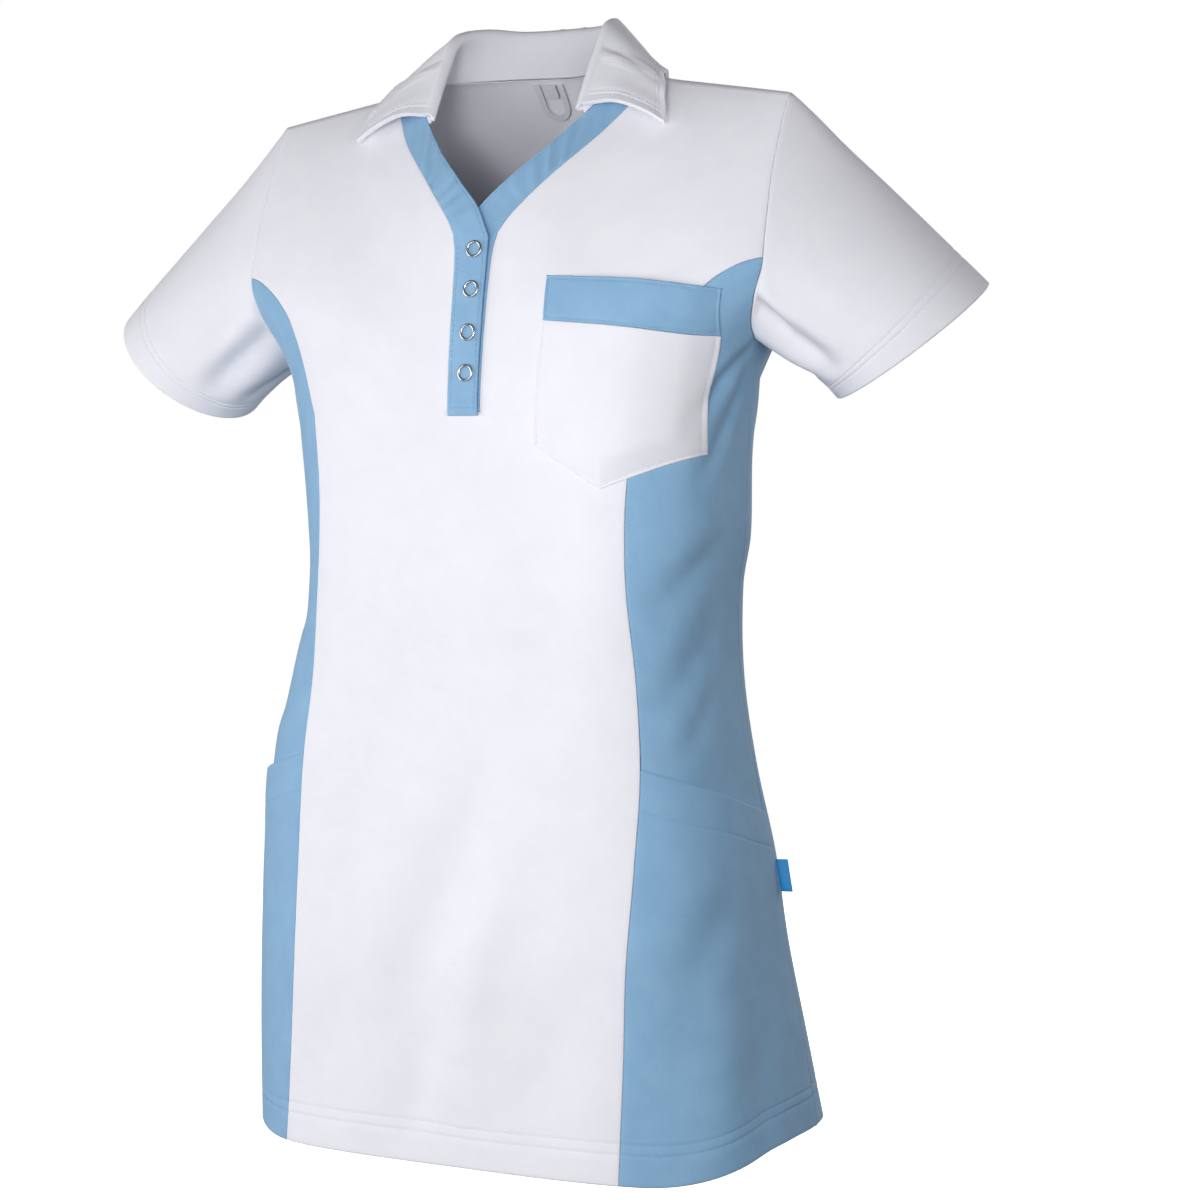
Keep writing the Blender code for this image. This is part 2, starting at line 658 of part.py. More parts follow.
def build_front_centre(rings):
    """White centre front, cut to a V and slit for the placket."""
    low = STEPS_TO_BAG + STEPS_TO_OPENING + STEPS_TO_SLIT
    princess = {side: princess_edge(side) for side in (-1, 1)}
    seam = {side: [place(*here) for here in band_seam(side)] for side in (-1, 1)}
    across = [princess[-1][low][0], seam[-1][0][0], seam[1][0][0], princess[1][low][0]]
    steps = (STEPS_ACROSS_WING, STEPS_ACROSS_SLIT, STEPS_ACROSS_WING)
    slit_level = level(across[0], across[1], steps[0], SLIT_FOOT)
    for index in (1, 2):
        slit_level += level(across[index], across[index + 1], steps[index], SLIT_FOOT)[1:]
    hem = hem_edge(princess[-1][0][0], princess[1][0][0], sum(steps))
    grids = [spots(blended_patch(hem, slit_level, princess[-1][:low + 1], princess[1][:low + 1]))]
    for side in (-1, 1):
        armhole = armhole_high(side, back=False)
        outer = princess[side][low:] + armhole[1:]
        foot = level(seam[side][0][0], outer[0][0], STEPS_ACROSS_WING, SLIT_FOOT)
        shoulder = shoulder_edge(side, BAND_TOP_X, SHOULDER_TIP_X, STEPS_ACROSS_WING)
        wing = spots(blended_patch(foot, shoulder, seam[side], outer))
        for step, spot in enumerate(armhole_spots(rings[side], 0, STEPS_UP_ARMHOLE, back=False)):
            wing[-1 - step][-1] = spot
        grids.append(wing)
    sew_sheet("front_centre", grids, WHITE_KNIT)


def build_side_front(name, side, ring):
    """Blue side front, which runs on behind the hip pocket as the pocket's bag."""
    bag, opening = STEPS_TO_BAG, STEPS_TO_BAG + STEPS_TO_OPENING
    princess, seam = princess_edge(side), side_edge(side)
    armhole = armhole_low(side, back=False)
    foot = straight(princess[bag], seam[bag], STEPS_ACROSS_SIDE)
    panel = spots(blended_patch(foot, armhole, princess[bag:], seam[bag:]))
    panel[-1] = armhole_spots(ring, STEPS_UP_ARMHOLE, STEPS_UP_ARMHOLE + STEPS_ACROSS_SIDE, back=False)

    def recess(row, column):
        above_opening = row - STEPS_TO_OPENING
        return -POCKET_RECESS * ease(1 - above_opening / RECESS_STEPS)

    sew_sheet("front_side_" + name, [lifted(panel, recess)], BLUE_KNIT)

    hem = hem_edge(princess[0][0], seam[0][0], STEPS_ACROSS_SIDE)
    mouth = straight(princess[opening], seam[opening], STEPS_ACROSS_SIDE)
    pocket = spots(blended_patch(hem, mouth, princess[:opening + 1], seam[:opening + 1]))

    def stand(row, column):
        across = math.sin(math.pi * column / STEPS_ACROSS_SIDE) ** 2
        return HIP_MOUTH_STAND * across * ease(1 - (opening - row) / RECESS_STEPS)

    sew_sheet("hip_pocket_" + name, [lifted(pocket, stand)], BLUE_KNIT)


def build_side_back(name, side, ring):
    """Blue side back."""
    seam, princess = side_edge(side), back_princess_edge(side)
    hem = hem_edge(seam[0][0], princess[0][0], STEPS_ACROSS_SIDE)
    armhole = armhole_low(side, back=True)[::-1]
    panel = spots(blended_patch(hem, armhole, seam, princess))
    arm = armhole_spots(ring, STEPS_UP_ARMHOLE, STEPS_UP_ARMHOLE + STEPS_ACROSS_SIDE, back=True)
    panel[-1] = arm[::-1]
    sew_sheet("back_side_" + name, [panel], BLUE_KNIT)


def build_back_centre(rings, neck):
    """White centre back, between the back princess seams, up to the shoulders and the collar."""
    edges = {}
    for side in (-1, 1):
        armhole = armhole_high(side, back=True)
        edges[side] = [all_round(here) for here in back_princess_edge(side) + armhole[1:]]
    halves = {}
    for side in (-1, 1):
        shoulder = (shoulder_edge(side, SHOULDER_TIP_X, BAND_TOP_X, STEPS_ACROSS_WING, back=True)
                    + shoulder_edge(side, BAND_TOP_X, NECK_POINT_X, 1, back=True)[1:])
        halves[side] = [all_round(here) for here in shoulder + collar_seam_back(side)[1:]]
    top = halves[-1] + halves[1][-2::-1]
    hem = [all_round(here) for here in hem_edge(edges[-1][0][0], edges[1][0][0], len(top) - 1)]
    places = blended_patch(hem, top, edges[-1], edges[1])
    panel = spots(places)
    for side, column in ((-1, 0), (1, -1)):
        for step, spot in enumerate(armhole_spots(rings[side], 0, STEPS_UP_ARMHOLE, back=True)):
            panel[-1 - step][column] = spot
    first = STEPS_ACROSS_WING + 1
    for step, spot in enumerate(neck[STEPS_COLLAR_FRONT:-STEPS_COLLAR_FRONT]):
        panel[-1][first + step] = spot
    for part in even(1, 0, ROWS_UNDER_NECK)[1:-1]:
        line = [torso_spot(*Vector(low).lerp(Vector(high), part))
                for low, high in zip(places[-2], places[-1])]
        for column in (0, -1):
            low, high = panel[STEPS_BACK - 1][column], panel[-1][column]
            line[column] = (low[0].lerp(high[0], part), low[1].lerp(high[1], part))
        panel.insert(STEPS_BACK, line)
    sew_sheet("back_centre", [panel], WHITE_KNIT)


def all_round(here):
    """The same place with its angle from 0 to 360, for a piece that crosses the centre back."""
    return here[0] % 360, here[1]


# Collar

def collar_section(part, seam_point, side):
    """Points up the stand, over the roll and down the fall. Part runs from front 0 to back 1."""
    roll = Vector([smooth_value(COLLAR, part, column) for column in ROLL_COLUMNS])
    edge = Vector([smooth_value(COLLAR, part, column) for column in EDGE_COLUMNS])
    roll.x, edge.x = side * roll.x, side * edge.x
    out = (edge - roll)
    out.z = 0
    out.normalize()
    under = Vector((0, 0, -ROLL_RADIUS))
    fall = edge - roll
    bulge = (out - fall.normalized() * out.dot(fall.normalized())).normalized() * FALL_BULGE
    stand = [seam_point, seam_point.lerp(roll, 0.5) - out * STAND_LEAN,
             roll - out * ROLL_RADIUS + under, roll]
    folded = [roll + out * ROLL_RADIUS + under, roll + fall * 0.4 + bulge,
              roll + fall * 0.7 + bulge, edge]
    return stand + [keep_clear(point) for point in folded]


def keep_clear(point):
    """The point, moved off the torso's surface if it is nearer than the collar may lie."""
    surface, normal = torso_spot(*place(point.x, point.z, back=point.y > 0))
    distance = (point - surface).dot(normal)
    return point + normal * max(COLLAR_CLEARANCE - distance, 0.0)


def collar_grid():
    """Spots from the wearer's right front edge round to the left one, and the neck's seam spots."""
    stations = []
    for side in (-1, 1):
        seam = [place(*here) for here in collar_seam_front(side)] + collar_seam_back(side)[1:]
        half = []
        for index, here in enumerate(seam):
            front = min(index / STEPS_COLLAR_FRONT, 1.0) * 0.5
            back = max(index - STEPS_COLLAR_FRONT, 0) / STEPS_HALF_BACK_NECK * 0.5
            point, normal = torso_spot(*here)
            half.append((collar_section(front + back, point, side), normal))
        stations.append(half)
    whole = stations[0] + stations[1][-2::-1]
    columns = [section for section, _ in whole]
    grid = []
    last = len(columns[0]) - 1
    for row in range(last + 1):
        grid.append([])
        for column, section in enumerate(columns):
            before, after = columns[max(column - 1, 0)], columns[min(column + 1, len(columns) - 1)]
            along = after[row] - before[row]
            up = section[min(row + 1, last)] - section[max(row - 1, 0)]
            grid[-1].append((section[row], up.cross(along).normalized()))
    neck = [(point, seam_normal(own, grid[0][column][1]))
            for column, (own, (point, _)) in enumerate(zip((normal for _, normal in whole), grid[0]))]
    grid[0] = neck
    return grid, neck


# Neck band and placket

def band_grid(side, free_edge, foot_row):
    """Spots of a band from the slit's foot to the shoulder, between its seam and its free edge."""
    seam = band_seam(side)
    top, strip_edge = free_edge[0]
    free = [(strip_edge, height) for height in even(SLIT_FOOT, top, STEPS_TO_ARMHOLE)]
    open_part = smooth_path(free_edge, STEPS_UP_ARMHOLE - STEPS_COLLAR_FRONT)
    free += [(point.y, point.x) for point in open_part[1:]]
    free += collar_seam_front(side)[1:]
    if foot_row:
        free.insert(0, (strip_edge, PLACKET_FOOT))
        seam.insert(0, (side * NECKLINE_SLIT[0][1], PLACKET_FOOT))
    rows = [straight(inner, outer, STEPS_ACROSS_BAND) for inner, outer in zip(free, seam)]
    return on_torso(rows)


def build_bands(neck):
    """Blue neck bands that run on as the placket's strips, the right one over the left."""
    left_free = ((-0.100, -UNDER_STRIP_HALF),) + NECKLINE_FREE
    left = band_grid(1, left_free, foot_row=False)
    right_free = ((-0.106, UPPER_STRIP_HALF),) + tuple((height, -x) for height, x in NECKLINE_FREE)
    right = band_grid(-1, right_free, foot_row=True)
    last = len(neck) - 1
    for step in range(STEPS_COLLAR_FRONT + 1):
        right[-1 - STEPS_COLLAR_FRONT + step][0] = neck[step]
        left[-1 - STEPS_COLLAR_FRONT + step][0] = neck[last - step]
    sew_sheet("band_left", [left], BLUE_KNIT)
    crossing = STEPS_TO_ARMHOLE + 2

    def over(row, column):
        return (CLOTH + PLACKET_GAP) * ease(1 - (row - crossing) / CROSSING_STEPS)

    sew_sheet("band_right", [lifted(right, over)], BLUE_KNIT)


# Breast pocket

def build_breast_pocket():
    """White patch with a pointed foot, and the blue band across its top."""
    lift = CLOTH + POCKET_GAP
    corner = {name: Vector(here) for name, here in BREAST_POCKET.items()}
    parts = [math.sin(turn) for turn in even(0, math.pi / 2, POCKET_ACROSS)]
    point_part = parts[POCKET_POINT_STEP]
    top = [corner["top inner"].lerp(corner["top outer"], part) for part in parts]
    seam = [corner["band low inner"].lerp(corner["band low outer"], part) for part in parts]
    foot = [corner["foot inner"].lerp(corner["point"], part / point_part)
            for part in parts[:POCKET_POINT_STEP]]
    foot += [corner["point"].lerp(corner["foot outer"], (part - point_part) / (1 - point_part))
             for part in parts[POCKET_POINT_STEP:]]
    band = blended_patch(seam, top, straight(seam[0], top[0], POCKET_BAND_DOWN),
                         straight(seam[-1], top[-1], POCKET_BAND_DOWN))
    body = blended_patch(foot, seam, straight(foot[0], seam[0], POCKET_DOWN),
                         straight(foot[-1], seam[-1], POCKET_DOWN))
    sew_sheet("breast_pocket_band", [lifted(on_torso(band), lift)], BLUE_KNIT)
    sew_sheet("breast_pocket", [lifted(on_torso(body), lift)], WHITE_KNIT)


# Snaps, label, loop

def build_snaps():
    """Open ring snaps down the placket."""
    for number, height in enumerate(SNAP_HEIGHTS, 1):
        point, normal = torso_spot(*place(SNAP_X, height))
        centre = point + normal * (CLOTH + PLACKET_GAP + OVERLAY_GAP + SNAP_WIRE)
        bpy.ops.mesh.primitive_torus_add(
            major_segments=20, minor_segments=6, major_radius=SNAP_RADIUS - SNAP_WIRE,
            minor_radius=SNAP_WIRE, location=centre,
            rotation=normal.to_track_quat("Z", "Y").to_euler())
        ring = bpy.context.object
        ring.name = ring.data.name = "snap_%d" % number
        ring.data.shade_smooth()
        ring.data.materials.append(make_material("snap_material", NICKEL))
        keep_only_in_tunic(ring)


def keep_only_in_tunic(piece):
    for collection in piece.users_collection:
        collection.objects.unlink(piece)
    tunic.objects.link(piece)


def build_side_label():
    """Folded ribbon caught in the left side seam, left bare."""
    point, normal = torso_spot(*side_place(1, smooth_value(SIDE_SEAM, LABEL_HEIGHT, 1), LABEL_HEIGHT))
    normal.z = 0
    normal.normalize()
    up = Vector((0, 0, 1))
    bpy.ops.mesh.primitive_cube_add(size=1)
    label = bpy.context.object
    label.name = label.data.name = "side_label"
    label.data.transform(Matrix.Diagonal((LABEL_REACH, LABEL_THICK, LABEL_TALL, 1)))
    turn = Matrix((normal, up.cross(normal), up)).transposed().to_4x4()
    centre = point + normal * (LABEL_GAP + LABEL_REACH / 2)
    label.matrix_world = Matrix.Translation(centre) @ turn
    label.data.materials.append(make_material("side_label_material", CYAN_TAPE))
    keep_only_in_tunic(label)


def build_neck_tapes():
    """Hanger loop and bare size label on the inside of the back, under the collar seam."""
    inside = -(CLOTH + TAPE_GAP)
    path = [(LOOP_X - LOOP_RADIUS, LOOP_TOP), (LOOP_X - LOOP_RADIUS, LOOP_FOOT + LOOP_RADIUS)]
    path += [(LOOP_X - LOOP_RADIUS * math.cos(turn), LOOP_FOOT + LOOP_RADIUS * (1 - math.sin(turn)))
             for turn in even(0, math.pi, LOOP_BEND_STEPS)[1:-1]]
    path += [(2 * LOOP_X - x, height) for x, height in reversed(path[:2])]
    rows = []
    for index, here in enumerate(path):
        before, after = path[max(index - 1, 0)], path[min(index + 1, len(path) - 1)]
        along = Vector((after[0] - before[0], after[1] - before[1])).normalized()
        across = Vector((-along.y, along.x)) * LOOP_TAPE_WIDTH / 2
        rows.append([(here[0] + across.x * sign, here[1] + across.y * sign) for sign in (-1, 1)])
    loop = lifted(on_torso(rows, back=True), inside)
    sew_sheet("hanger_loop", [loop], WHITE_TAPE, thickness=TAPE, gap=0)
    left, right = LOOP_X - SIZE_LABEL_WIDTH / 2, LOOP_X + SIZE_LABEL_WIDTH / 2
    rows = [[(x, height) for x in even(left, right, 2)]
            for height in even(LOOP_TOP - SIZE_LABEL_TALL, LOOP_TOP, 2)]
    label = lifted(on_torso(rows, back=True), inside)
    sew_sheet("size_label", [label], WHITE_TAPE, thickness=TAPE, gap=0)


for old in list(bpy.data.objects):
    bpy.data.objects.remove(old)
tunic = bpy.data.collections.new(TUNIC)
bpy.context.scene.collection.children.link(tunic)

collar, neck_seam = collar_grid()
armhole_rings = {}
for name, side in (("right", -1), ("left", 1)):
    sleeve = sleeve_grid(name, side)
    armhole_rings[side] = sleeve[0][:-1]
    sew_sheet("sleeve_" + name, [sleeve], WHITE_KNIT)
    build_side_front(name, side, armhole_rings[side])
    build_side_back(name, side, armhole_rings[side])
build_front_centre(armhole_rings)
build_back_centre(armhole_rings, neck_seam)
build_bands(neck_seam)
sew_sheet("collar", [collar], WHITE_KNIT, thickness=COLLAR_CLOTH, gap=2 * SEAM_GAP)
build_breast_pocket()
build_snaps()
build_side_label()
build_neck_tapes()
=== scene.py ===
import math

import bmesh
import bpy
import numpy as np
from mathutils import Matrix, Vector


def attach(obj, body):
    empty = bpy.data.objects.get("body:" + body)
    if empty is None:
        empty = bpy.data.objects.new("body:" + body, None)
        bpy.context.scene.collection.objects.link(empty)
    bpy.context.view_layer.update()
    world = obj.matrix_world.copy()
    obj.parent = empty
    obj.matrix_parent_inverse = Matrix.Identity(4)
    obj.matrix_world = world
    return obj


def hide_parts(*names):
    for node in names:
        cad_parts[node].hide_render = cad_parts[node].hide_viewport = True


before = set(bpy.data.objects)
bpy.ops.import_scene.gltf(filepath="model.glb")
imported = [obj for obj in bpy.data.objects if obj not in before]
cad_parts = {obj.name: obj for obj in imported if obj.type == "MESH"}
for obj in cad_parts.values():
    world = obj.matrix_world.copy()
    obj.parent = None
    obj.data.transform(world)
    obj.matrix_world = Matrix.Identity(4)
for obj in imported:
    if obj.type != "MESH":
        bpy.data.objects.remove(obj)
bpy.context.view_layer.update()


# Centre front
# The white front is one piece of fine pique knit in polyester and cotton, cut to a V and slit for the
# placket. Its side edges are sewn to the blue side fronts, and its hem is turned in and stitched twice.

# The form that the tunic keeps: sections of the body, its shoulder line and how the cloth leaves it.
# Columns: height, right half width, left half width, front depth, back depth, middle, front
# squareness, back squareness
RIGHT_HALF, LEFT_HALF, FRONT_DEPTH, BACK_DEPTH, MIDDLE, FRONT_SQUARENESS, BACK_SQUARENESS = range(1, 8)
TORSO = np.array((
    (0.060, 0.2130, 0.2130, 0.0840, 0.1100, 0.000, 4.0, 3.0),
    (-0.060, 0.2130, 0.2130, 0.0850, 0.1120, 0.000, 4.0, 3.0),
    (-0.125, 0.2110, 0.2110, 0.0880, 0.1150, 0.000, 3.8, 2.8),
    (-0.150, 0.1970, 0.1955, 0.0900, 0.1160, 0.000, 3.5, 2.4),
    (-0.175, 0.1780, 0.1745, 0.0910, 0.1150, 0.000, 3.2, 2.1),
    (-0.200, 0.1640, 0.1655, 0.0905, 0.1090, 0.000, 3.3, 2.05),
    (-0.243, 0.1540, 0.1600, 0.0880, 0.1020, 0.000, 3.6, 2.1),
    (-0.300, 0.1460, 0.1575, 0.0910, 0.1020, 0.000, 3.7, 2.2),
    (-0.333, 0.1440, 0.1526, 0.0934, 0.0980, 0.000, 3.7, 2.2),
    (-0.393, 0.1607, 0.1507, 0.0910, 0.1073, 0.002, 3.7, 2.2),
    (-0.453, 0.1801, 0.1577, 0.0959, 0.1173, 0.004, 3.7, 2.2),
    (-0.513, 0.1847, 0.1698, 0.1037, 0.1280, 0.006, 3.7, 2.2),
    (-0.573, 0.1839, 0.1778, 0.1132, 0.1350, 0.008, 3.7, 2.2),
    (-0.633, 0.1834, 0.1894, 0.1182, 0.1424, 0.010, 3.7, 2.2),
    (-0.710, 0.1800, 0.2050, 0.1280, 0.1500, 0.012, 3.7, 2.2),
))
SHOULDER_TIP = (0.1935, -0.016)
SHOULDER_FALL, SHOULDER_ROUNDING = 0.17, 0.040
NECK_CLIMB, NECK_CLIMB_REACH, NECK_ROUNDING = 0.033, 0.105, 0.015
RIDGE_RADIUS = 0.050
FRONT_RUN, FRONT_POWER = 0.260, 0.85
BACK_RUN, BACK_POWER = 0.180, 0.50
HOLLOW_DEPTH, HOLLOW_HEIGHT = 0.009, -0.170
HOLLOW_HALF_WIDTH, HOLLOW_HALF_LENGTH = 0.045, 0.070

# The main creases: angle round the body and height of each end, half width, rise and bow. A rise
# below 0 is a trough. Angle 0 is the centre front and 90 the wearer's left side.
METRES_TO_A_DEGREE = 0.0026
CREASE_LIP, CREASE_END = 0.3, 0.8
CREASES = (
    (8, -0.445, -11, -0.650, 0.0170, -0.0042, 0.006),
    (13, -0.520, 2, -0.640, 0.0130, 0.0022, 0.004),
    (9, -0.215, 27, -0.420, 0.0220, -0.0026, -0.010),
    (-15, -0.380, -19, -0.560, 0.0200, -0.0020, 0.006),
    (0, -0.600, -9, -0.700, 0.0110, -0.0020, 0.003),
    (29, -0.570, 17, -0.700, 0.0170, -0.0024, 0.005),
    (-24, -0.590, -31, -0.700, 0.0130, -0.0022, 0.003),
    (26, -0.055, 20, -0.135, 0.0140, -0.0018, 0.004),
    (-26, -0.060, -19, -0.160, 0.0130, -0.0016, -0.004),
    (84, -0.178, 52, -0.232, 0.0065, -0.0034, 0.004),
    (86, -0.190, 58, -0.268, 0.0080, -0.0026, -0.003),
    (-84, -0.178, -56, -0.236, 0.0065, -0.0032, -0.004),
    (80, -0.300, 46, -0.352, 0.0110, -0.0026, 0.005),
    (82, -0.355, 45, -0.420, 0.0120, -0.0022, 0.006),
    (76, -0.395, 50, -0.445, 0.0090, -0.0016, -0.003),
    (-82, -0.315, -50, -0.365, 0.0110, -0.0024, -0.005),
    (-80, -0.370, -52, -0.430, 0.0100, -0.0018, -0.004),
    (72, -0.520, 44, -0.610, 0.0150, -0.0026, 0.006),
    (62, -0.590, 50, -0.700, 0.0140, 0.0024, 0.003),
    (74, -0.600, 66, -0.705, 0.0140, -0.0026, -0.003),
    (-70, -0.560, -62, -0.700, 0.0150, -0.0022, 0.003),
    (168, -0.290, 197, -0.345, 0.0180, -0.0020, 0.006),
    (152, -0.330, 186, -0.405, 0.0190, -0.0020, -0.007),
    (210, -0.350, 178, -0.430, 0.0170, -0.0016, 0.005),
    (150, -0.080, 163, -0.220, 0.0150, -0.0024, 0.006),
    (213, -0.085, 199, -0.230, 0.0140, -0.0022, -0.006),
    (100, -0.185, 134, -0.250, 0.0080, -0.0030, -0.004),
    (-100, -0.185, -134, -0.246, 0.0080, -0.0028, 0.004),
    (176, -0.480, 169, -0.700, 0.0180, -0.0030, 0.006),
    (200, -0.520, 207, -0.700, 0.0160, -0.0026, -0.004),
    (141, -0.530, 136, -0.700, 0.0150, -0.0024, 0.004),
    (236, -0.500, 231, -0.700, 0.0160, -0.0028, 0.004),
)

HEM, HEM_SIDE_RISE, HEM_RISE_START = -0.707, 0.017, 0.35
SLIT_FOOT = -0.220
PRINCESS_LOW = np.array((
    (-0.220, 0.1226), (-0.273, 0.1170), (-0.333, 0.1179), (-0.393, 0.1218), (-0.453, 0.1262),
    (-0.513, 0.1261), (-0.573, 0.1252), (-0.633, 0.1259), (-0.707, 0.1270),
))
PRINCESS_HIGH = (
    (-0.220, 0.1226), (-0.183, 0.1366), (-0.168, 0.1430), (-0.153, 0.1510), (-0.138, 0.1660),
    (-0.128, 0.1820), (-0.124, 0.1945),
)
NECKLINE_SLIT = ((-0.220, 0.0118), (-0.160, 0.0124), (-0.120, 0.0135), (-0.103, 0.0165))
NECKLINE_OPEN = ((-0.103, 0.0165), (-0.091, 0.0245), (-0.067, 0.0460), (-0.039, 0.0730), (-0.020, 0.0870))
BAND_TOP_X = 0.1000
ARMHOLE_DEPTH, ARMHOLE_BACK_BITE, ARMHOLE_JUNCTION = 0.159, 0.008, 0.68
ARMHOLE_FOOT_POWER, ARMHOLE_FOOT_ROUNDING = 7.0, 0.55

CLOTH = 0.0008
SEAM_ROLL, SEAM_FLAP, SEAM_GAP = 0.0009, 0.0025, 0.00008
SHORT_FLAP, BAND_FLAP, PATCH_FLAP = 0.0004, 0.0006, 0.0002
HEM_ROLL, HEM_TURN = 0.0011, 0.0300
HEM_STITCHES = (0.0195, 0.0262)
MESH_STEP = 0.0036
GROOVE_DEPTH, GROOVE_HALF = 0.00042, 0.0007


def table_columns(table, height):
    """All the columns of a table of falling heights at some heights, smooth between the rows."""
    height = np.asarray(height, float)
    low = np.clip((table[:, 0] > height[..., None]).sum(-1) - 1, 0, len(table) - 2)
    here, there = table[low], table[low + 1]
    before, after = table[np.maximum(low - 1, 0)], table[np.minimum(low + 2, len(table) - 1)]
    span = there[..., :1] - here[..., :1]
    part = np.clip((height[..., None] - here[..., :1]) / span, 0, 1)
    slope_here = (there - before) / (there[..., :1] - before[..., :1]) * span
    slope_there = (after - here) / (after[..., :1] - here[..., :1]) * span
    square, cube = part ** 2, part ** 3
    return ((2 * cube - 3 * square + 1) * here + (cube - 2 * square + part) * slope_here
            + (3 * square - 2 * cube) * there + (cube - square) * slope_there)


def curve_through(knots, parts):
    """Points at some parts of the length of a smooth curve through the knots."""
    knots = np.array(knots, float)
    knots = np.vstack([2 * knots[:1] - knots[1:2], knots, 2 * knots[-1:] - knots[-2:-1]])
    step = np.arange(12)[:, None] / 12
    fine = []
    for before, start, end, after in zip(knots, knots[1:], knots[2:], knots[3:]):
        fine.append(0.5 * (2 * start + (end - before) * step
                           + (2 * before - 5 * start + 4 * end - after) * step ** 2
                           + (3 * start - before - 3 * end + after) * step ** 3))
    fine = np.vstack(fine + [knots[-2:-1]])
    lengths = np.append(0, np.cumsum(np.linalg.norm(np.diff(fine, axis=0), axis=1)))
    return np.stack([np.interp(np.asarray(parts) * lengths[-1], lengths, axis) for axis in fine.T], -1)


def ease(part):
    part = np.clip(part, 0, 1)
    return part * part * (3 - 2 * part)


def shoulder_height(x):
    rounded = np.sqrt(x * x + SHOULDER_ROUNDING ** 2)
    tip = math.hypot(SHOULDER_TIP[0], SHOULDER_ROUNDING)
    outwards = np.sqrt(x * x + NECK_ROUNDING ** 2) - NECK_ROUNDING
    climb = np.maximum(0, 1 - outwards / NECK_CLIMB_REACH)
    return SHOULDER_TIP[1] + SHOULDER_FALL * (tip - rounded) + NECK_CLIMB * climb ** 2


def reach_from_drop(drop):
    return np.sqrt((np.maximum(drop, 0) + RIDGE_RADIUS) ** 2 - RIDGE_RADIUS ** 2)


def round_the_body(turn, squareness):
    """Sideways and forward parts, each from 0 to 1, of a direction round a section."""
    sideways, forward = abs(np.sin(turn)), abs(np.cos(turn))
    size = (sideways ** squareness + forward ** squareness) ** (-1 / squareness)
    return sideways * size, forward * size


def torso_points(angle, reach):
    """Points on the form, from the angle round the body and the reach down from the shoulder line."""
    turn = np.radians(angle)
    front = np.cos(turn) >= 0
    side = np.where(np.sin(turn) >= 0, 1.0, -1.0)
    drop = np.sqrt(reach ** 2 + RIDGE_RADIUS ** 2) - RIDGE_RADIUS
    height = np.full(np.shape(angle), -0.1)
    for _ in range(9):
        section = table_columns(TORSO, height)
        squareness = np.where(front, section[..., FRONT_SQUARENESS], section[..., BACK_SQUARENESS])
        sideways, forward = round_the_body(turn, squareness)
        x = side * sideways * np.where(side > 0, section[..., LEFT_HALF], section[..., RIGHT_HALF])
        height = shoulder_height(x) - drop
    section = table_columns(TORSO, height)
    front_bulge = (1 - np.maximum(0, 1 - drop / FRONT_RUN) ** 2) ** FRONT_POWER
    back_bulge = (1 - np.maximum(0, 1 - drop / BACK_RUN) ** 2) ** BACK_POWER
    hollow = HOLLOW_DEPTH * np.exp(-(x / HOLLOW_HALF_WIDTH) ** 2
                                   - ((height - HOLLOW_HEIGHT) / HOLLOW_HALF_LENGTH) ** 2)
    front_y = section[..., MIDDLE] - section[..., FRONT_DEPTH] * forward * front_bulge + hollow
    back_y = section[..., MIDDLE] + section[..., BACK_DEPTH] * forward * back_bulge
    return np.stack([x, np.where(front, front_y, back_y), height], -1)


def unit(vectors):
    return vectors / np.maximum(np.linalg.norm(vectors, axis=-1, keepdims=True), 1e-12)


def torso_surface(places):
    """Points and outward normals at places, whose last axis is (angle, reach)."""
    angle, reach = places[..., 0], places[..., 1]
    points = torso_points(angle, reach)
    across = torso_points(angle + 0.2, reach) - torso_points(angle - 0.2, reach)
    down = torso_points(angle, reach + 5e-4) - torso_points(angle, np.maximum(reach - 5e-4, 0))
    climb = (shoulder_height(points[..., 0] + 1e-3) - shoulder_height(points[..., 0] - 1e-3)) / 2e-3
    on_ridge = np.stack([-climb, 0 * climb, 1 + 0 * climb], -1)
    normals = np.where((reach < 1e-4)[..., None], on_ridge, np.cross(down, across))
    return points, unit(normals)


def crease_profile(off, half_width):
    """The height of a crease across its run, 1 at its middle, with a low trough on either side."""
    beside = np.exp(-((off - 2 * half_width) / half_width) ** 2)
    return np.exp(-(off / half_width) ** 2) - CREASE_LIP * beside


def crease_rise(angle, height):
    """How far the creases lift the cloth off its form."""
    total = np.zeros(np.shape(height))
    for start_angle, start, end_angle, end, half_width, rise, bow in CREASES:
        from_start = ((angle - start_angle + 180) % 360 - 180) * METRES_TO_A_DEGREE
        run = (((end_angle - start_angle + 180) % 360 - 180) * METRES_TO_A_DEGREE, end - start)
        length = math.hypot(*run)
        part = np.clip((from_start * run[0] + (height - start) * run[1]) / length ** 2, 0, 1)
        beside = (from_start * run[1] - (height - start) * run[0]) / length
        beyond = np.hypot(from_start - part * run[0], height - start - part * run[1])
        off = np.where((part > 0) & (part < 1), abs(beside - bow * np.sin(math.pi * part)), beyond)
        total += rise * crease_profile(off, half_width) * np.sin(math.pi * np.clip(part, 0, 1)) ** CREASE_END
    return total


def place(x, height, back=False):
    """The place of a point given by its distance to the left of centre and its height."""
    section = table_columns(TORSO, height)
    half_width = np.where(np.asarray(x) >= 0, section[..., LEFT_HALF], section[..., RIGHT_HALF])
    squareness = np.where(back, section[..., BACK_SQUARENESS], section[..., FRONT_SQUARENESS])
    sideways = np.minimum(abs(x) / half_width, 0.99999)
    forward = (1 - sideways ** squareness) ** (1 / squareness)
    angle = np.degrees(np.arctan2(sideways, forward))
    angle = np.where(back, 180 - angle, angle)
    return np.stack([np.copysign(angle, x), reach_from_drop(shoulder_height(x) - height)], -1)


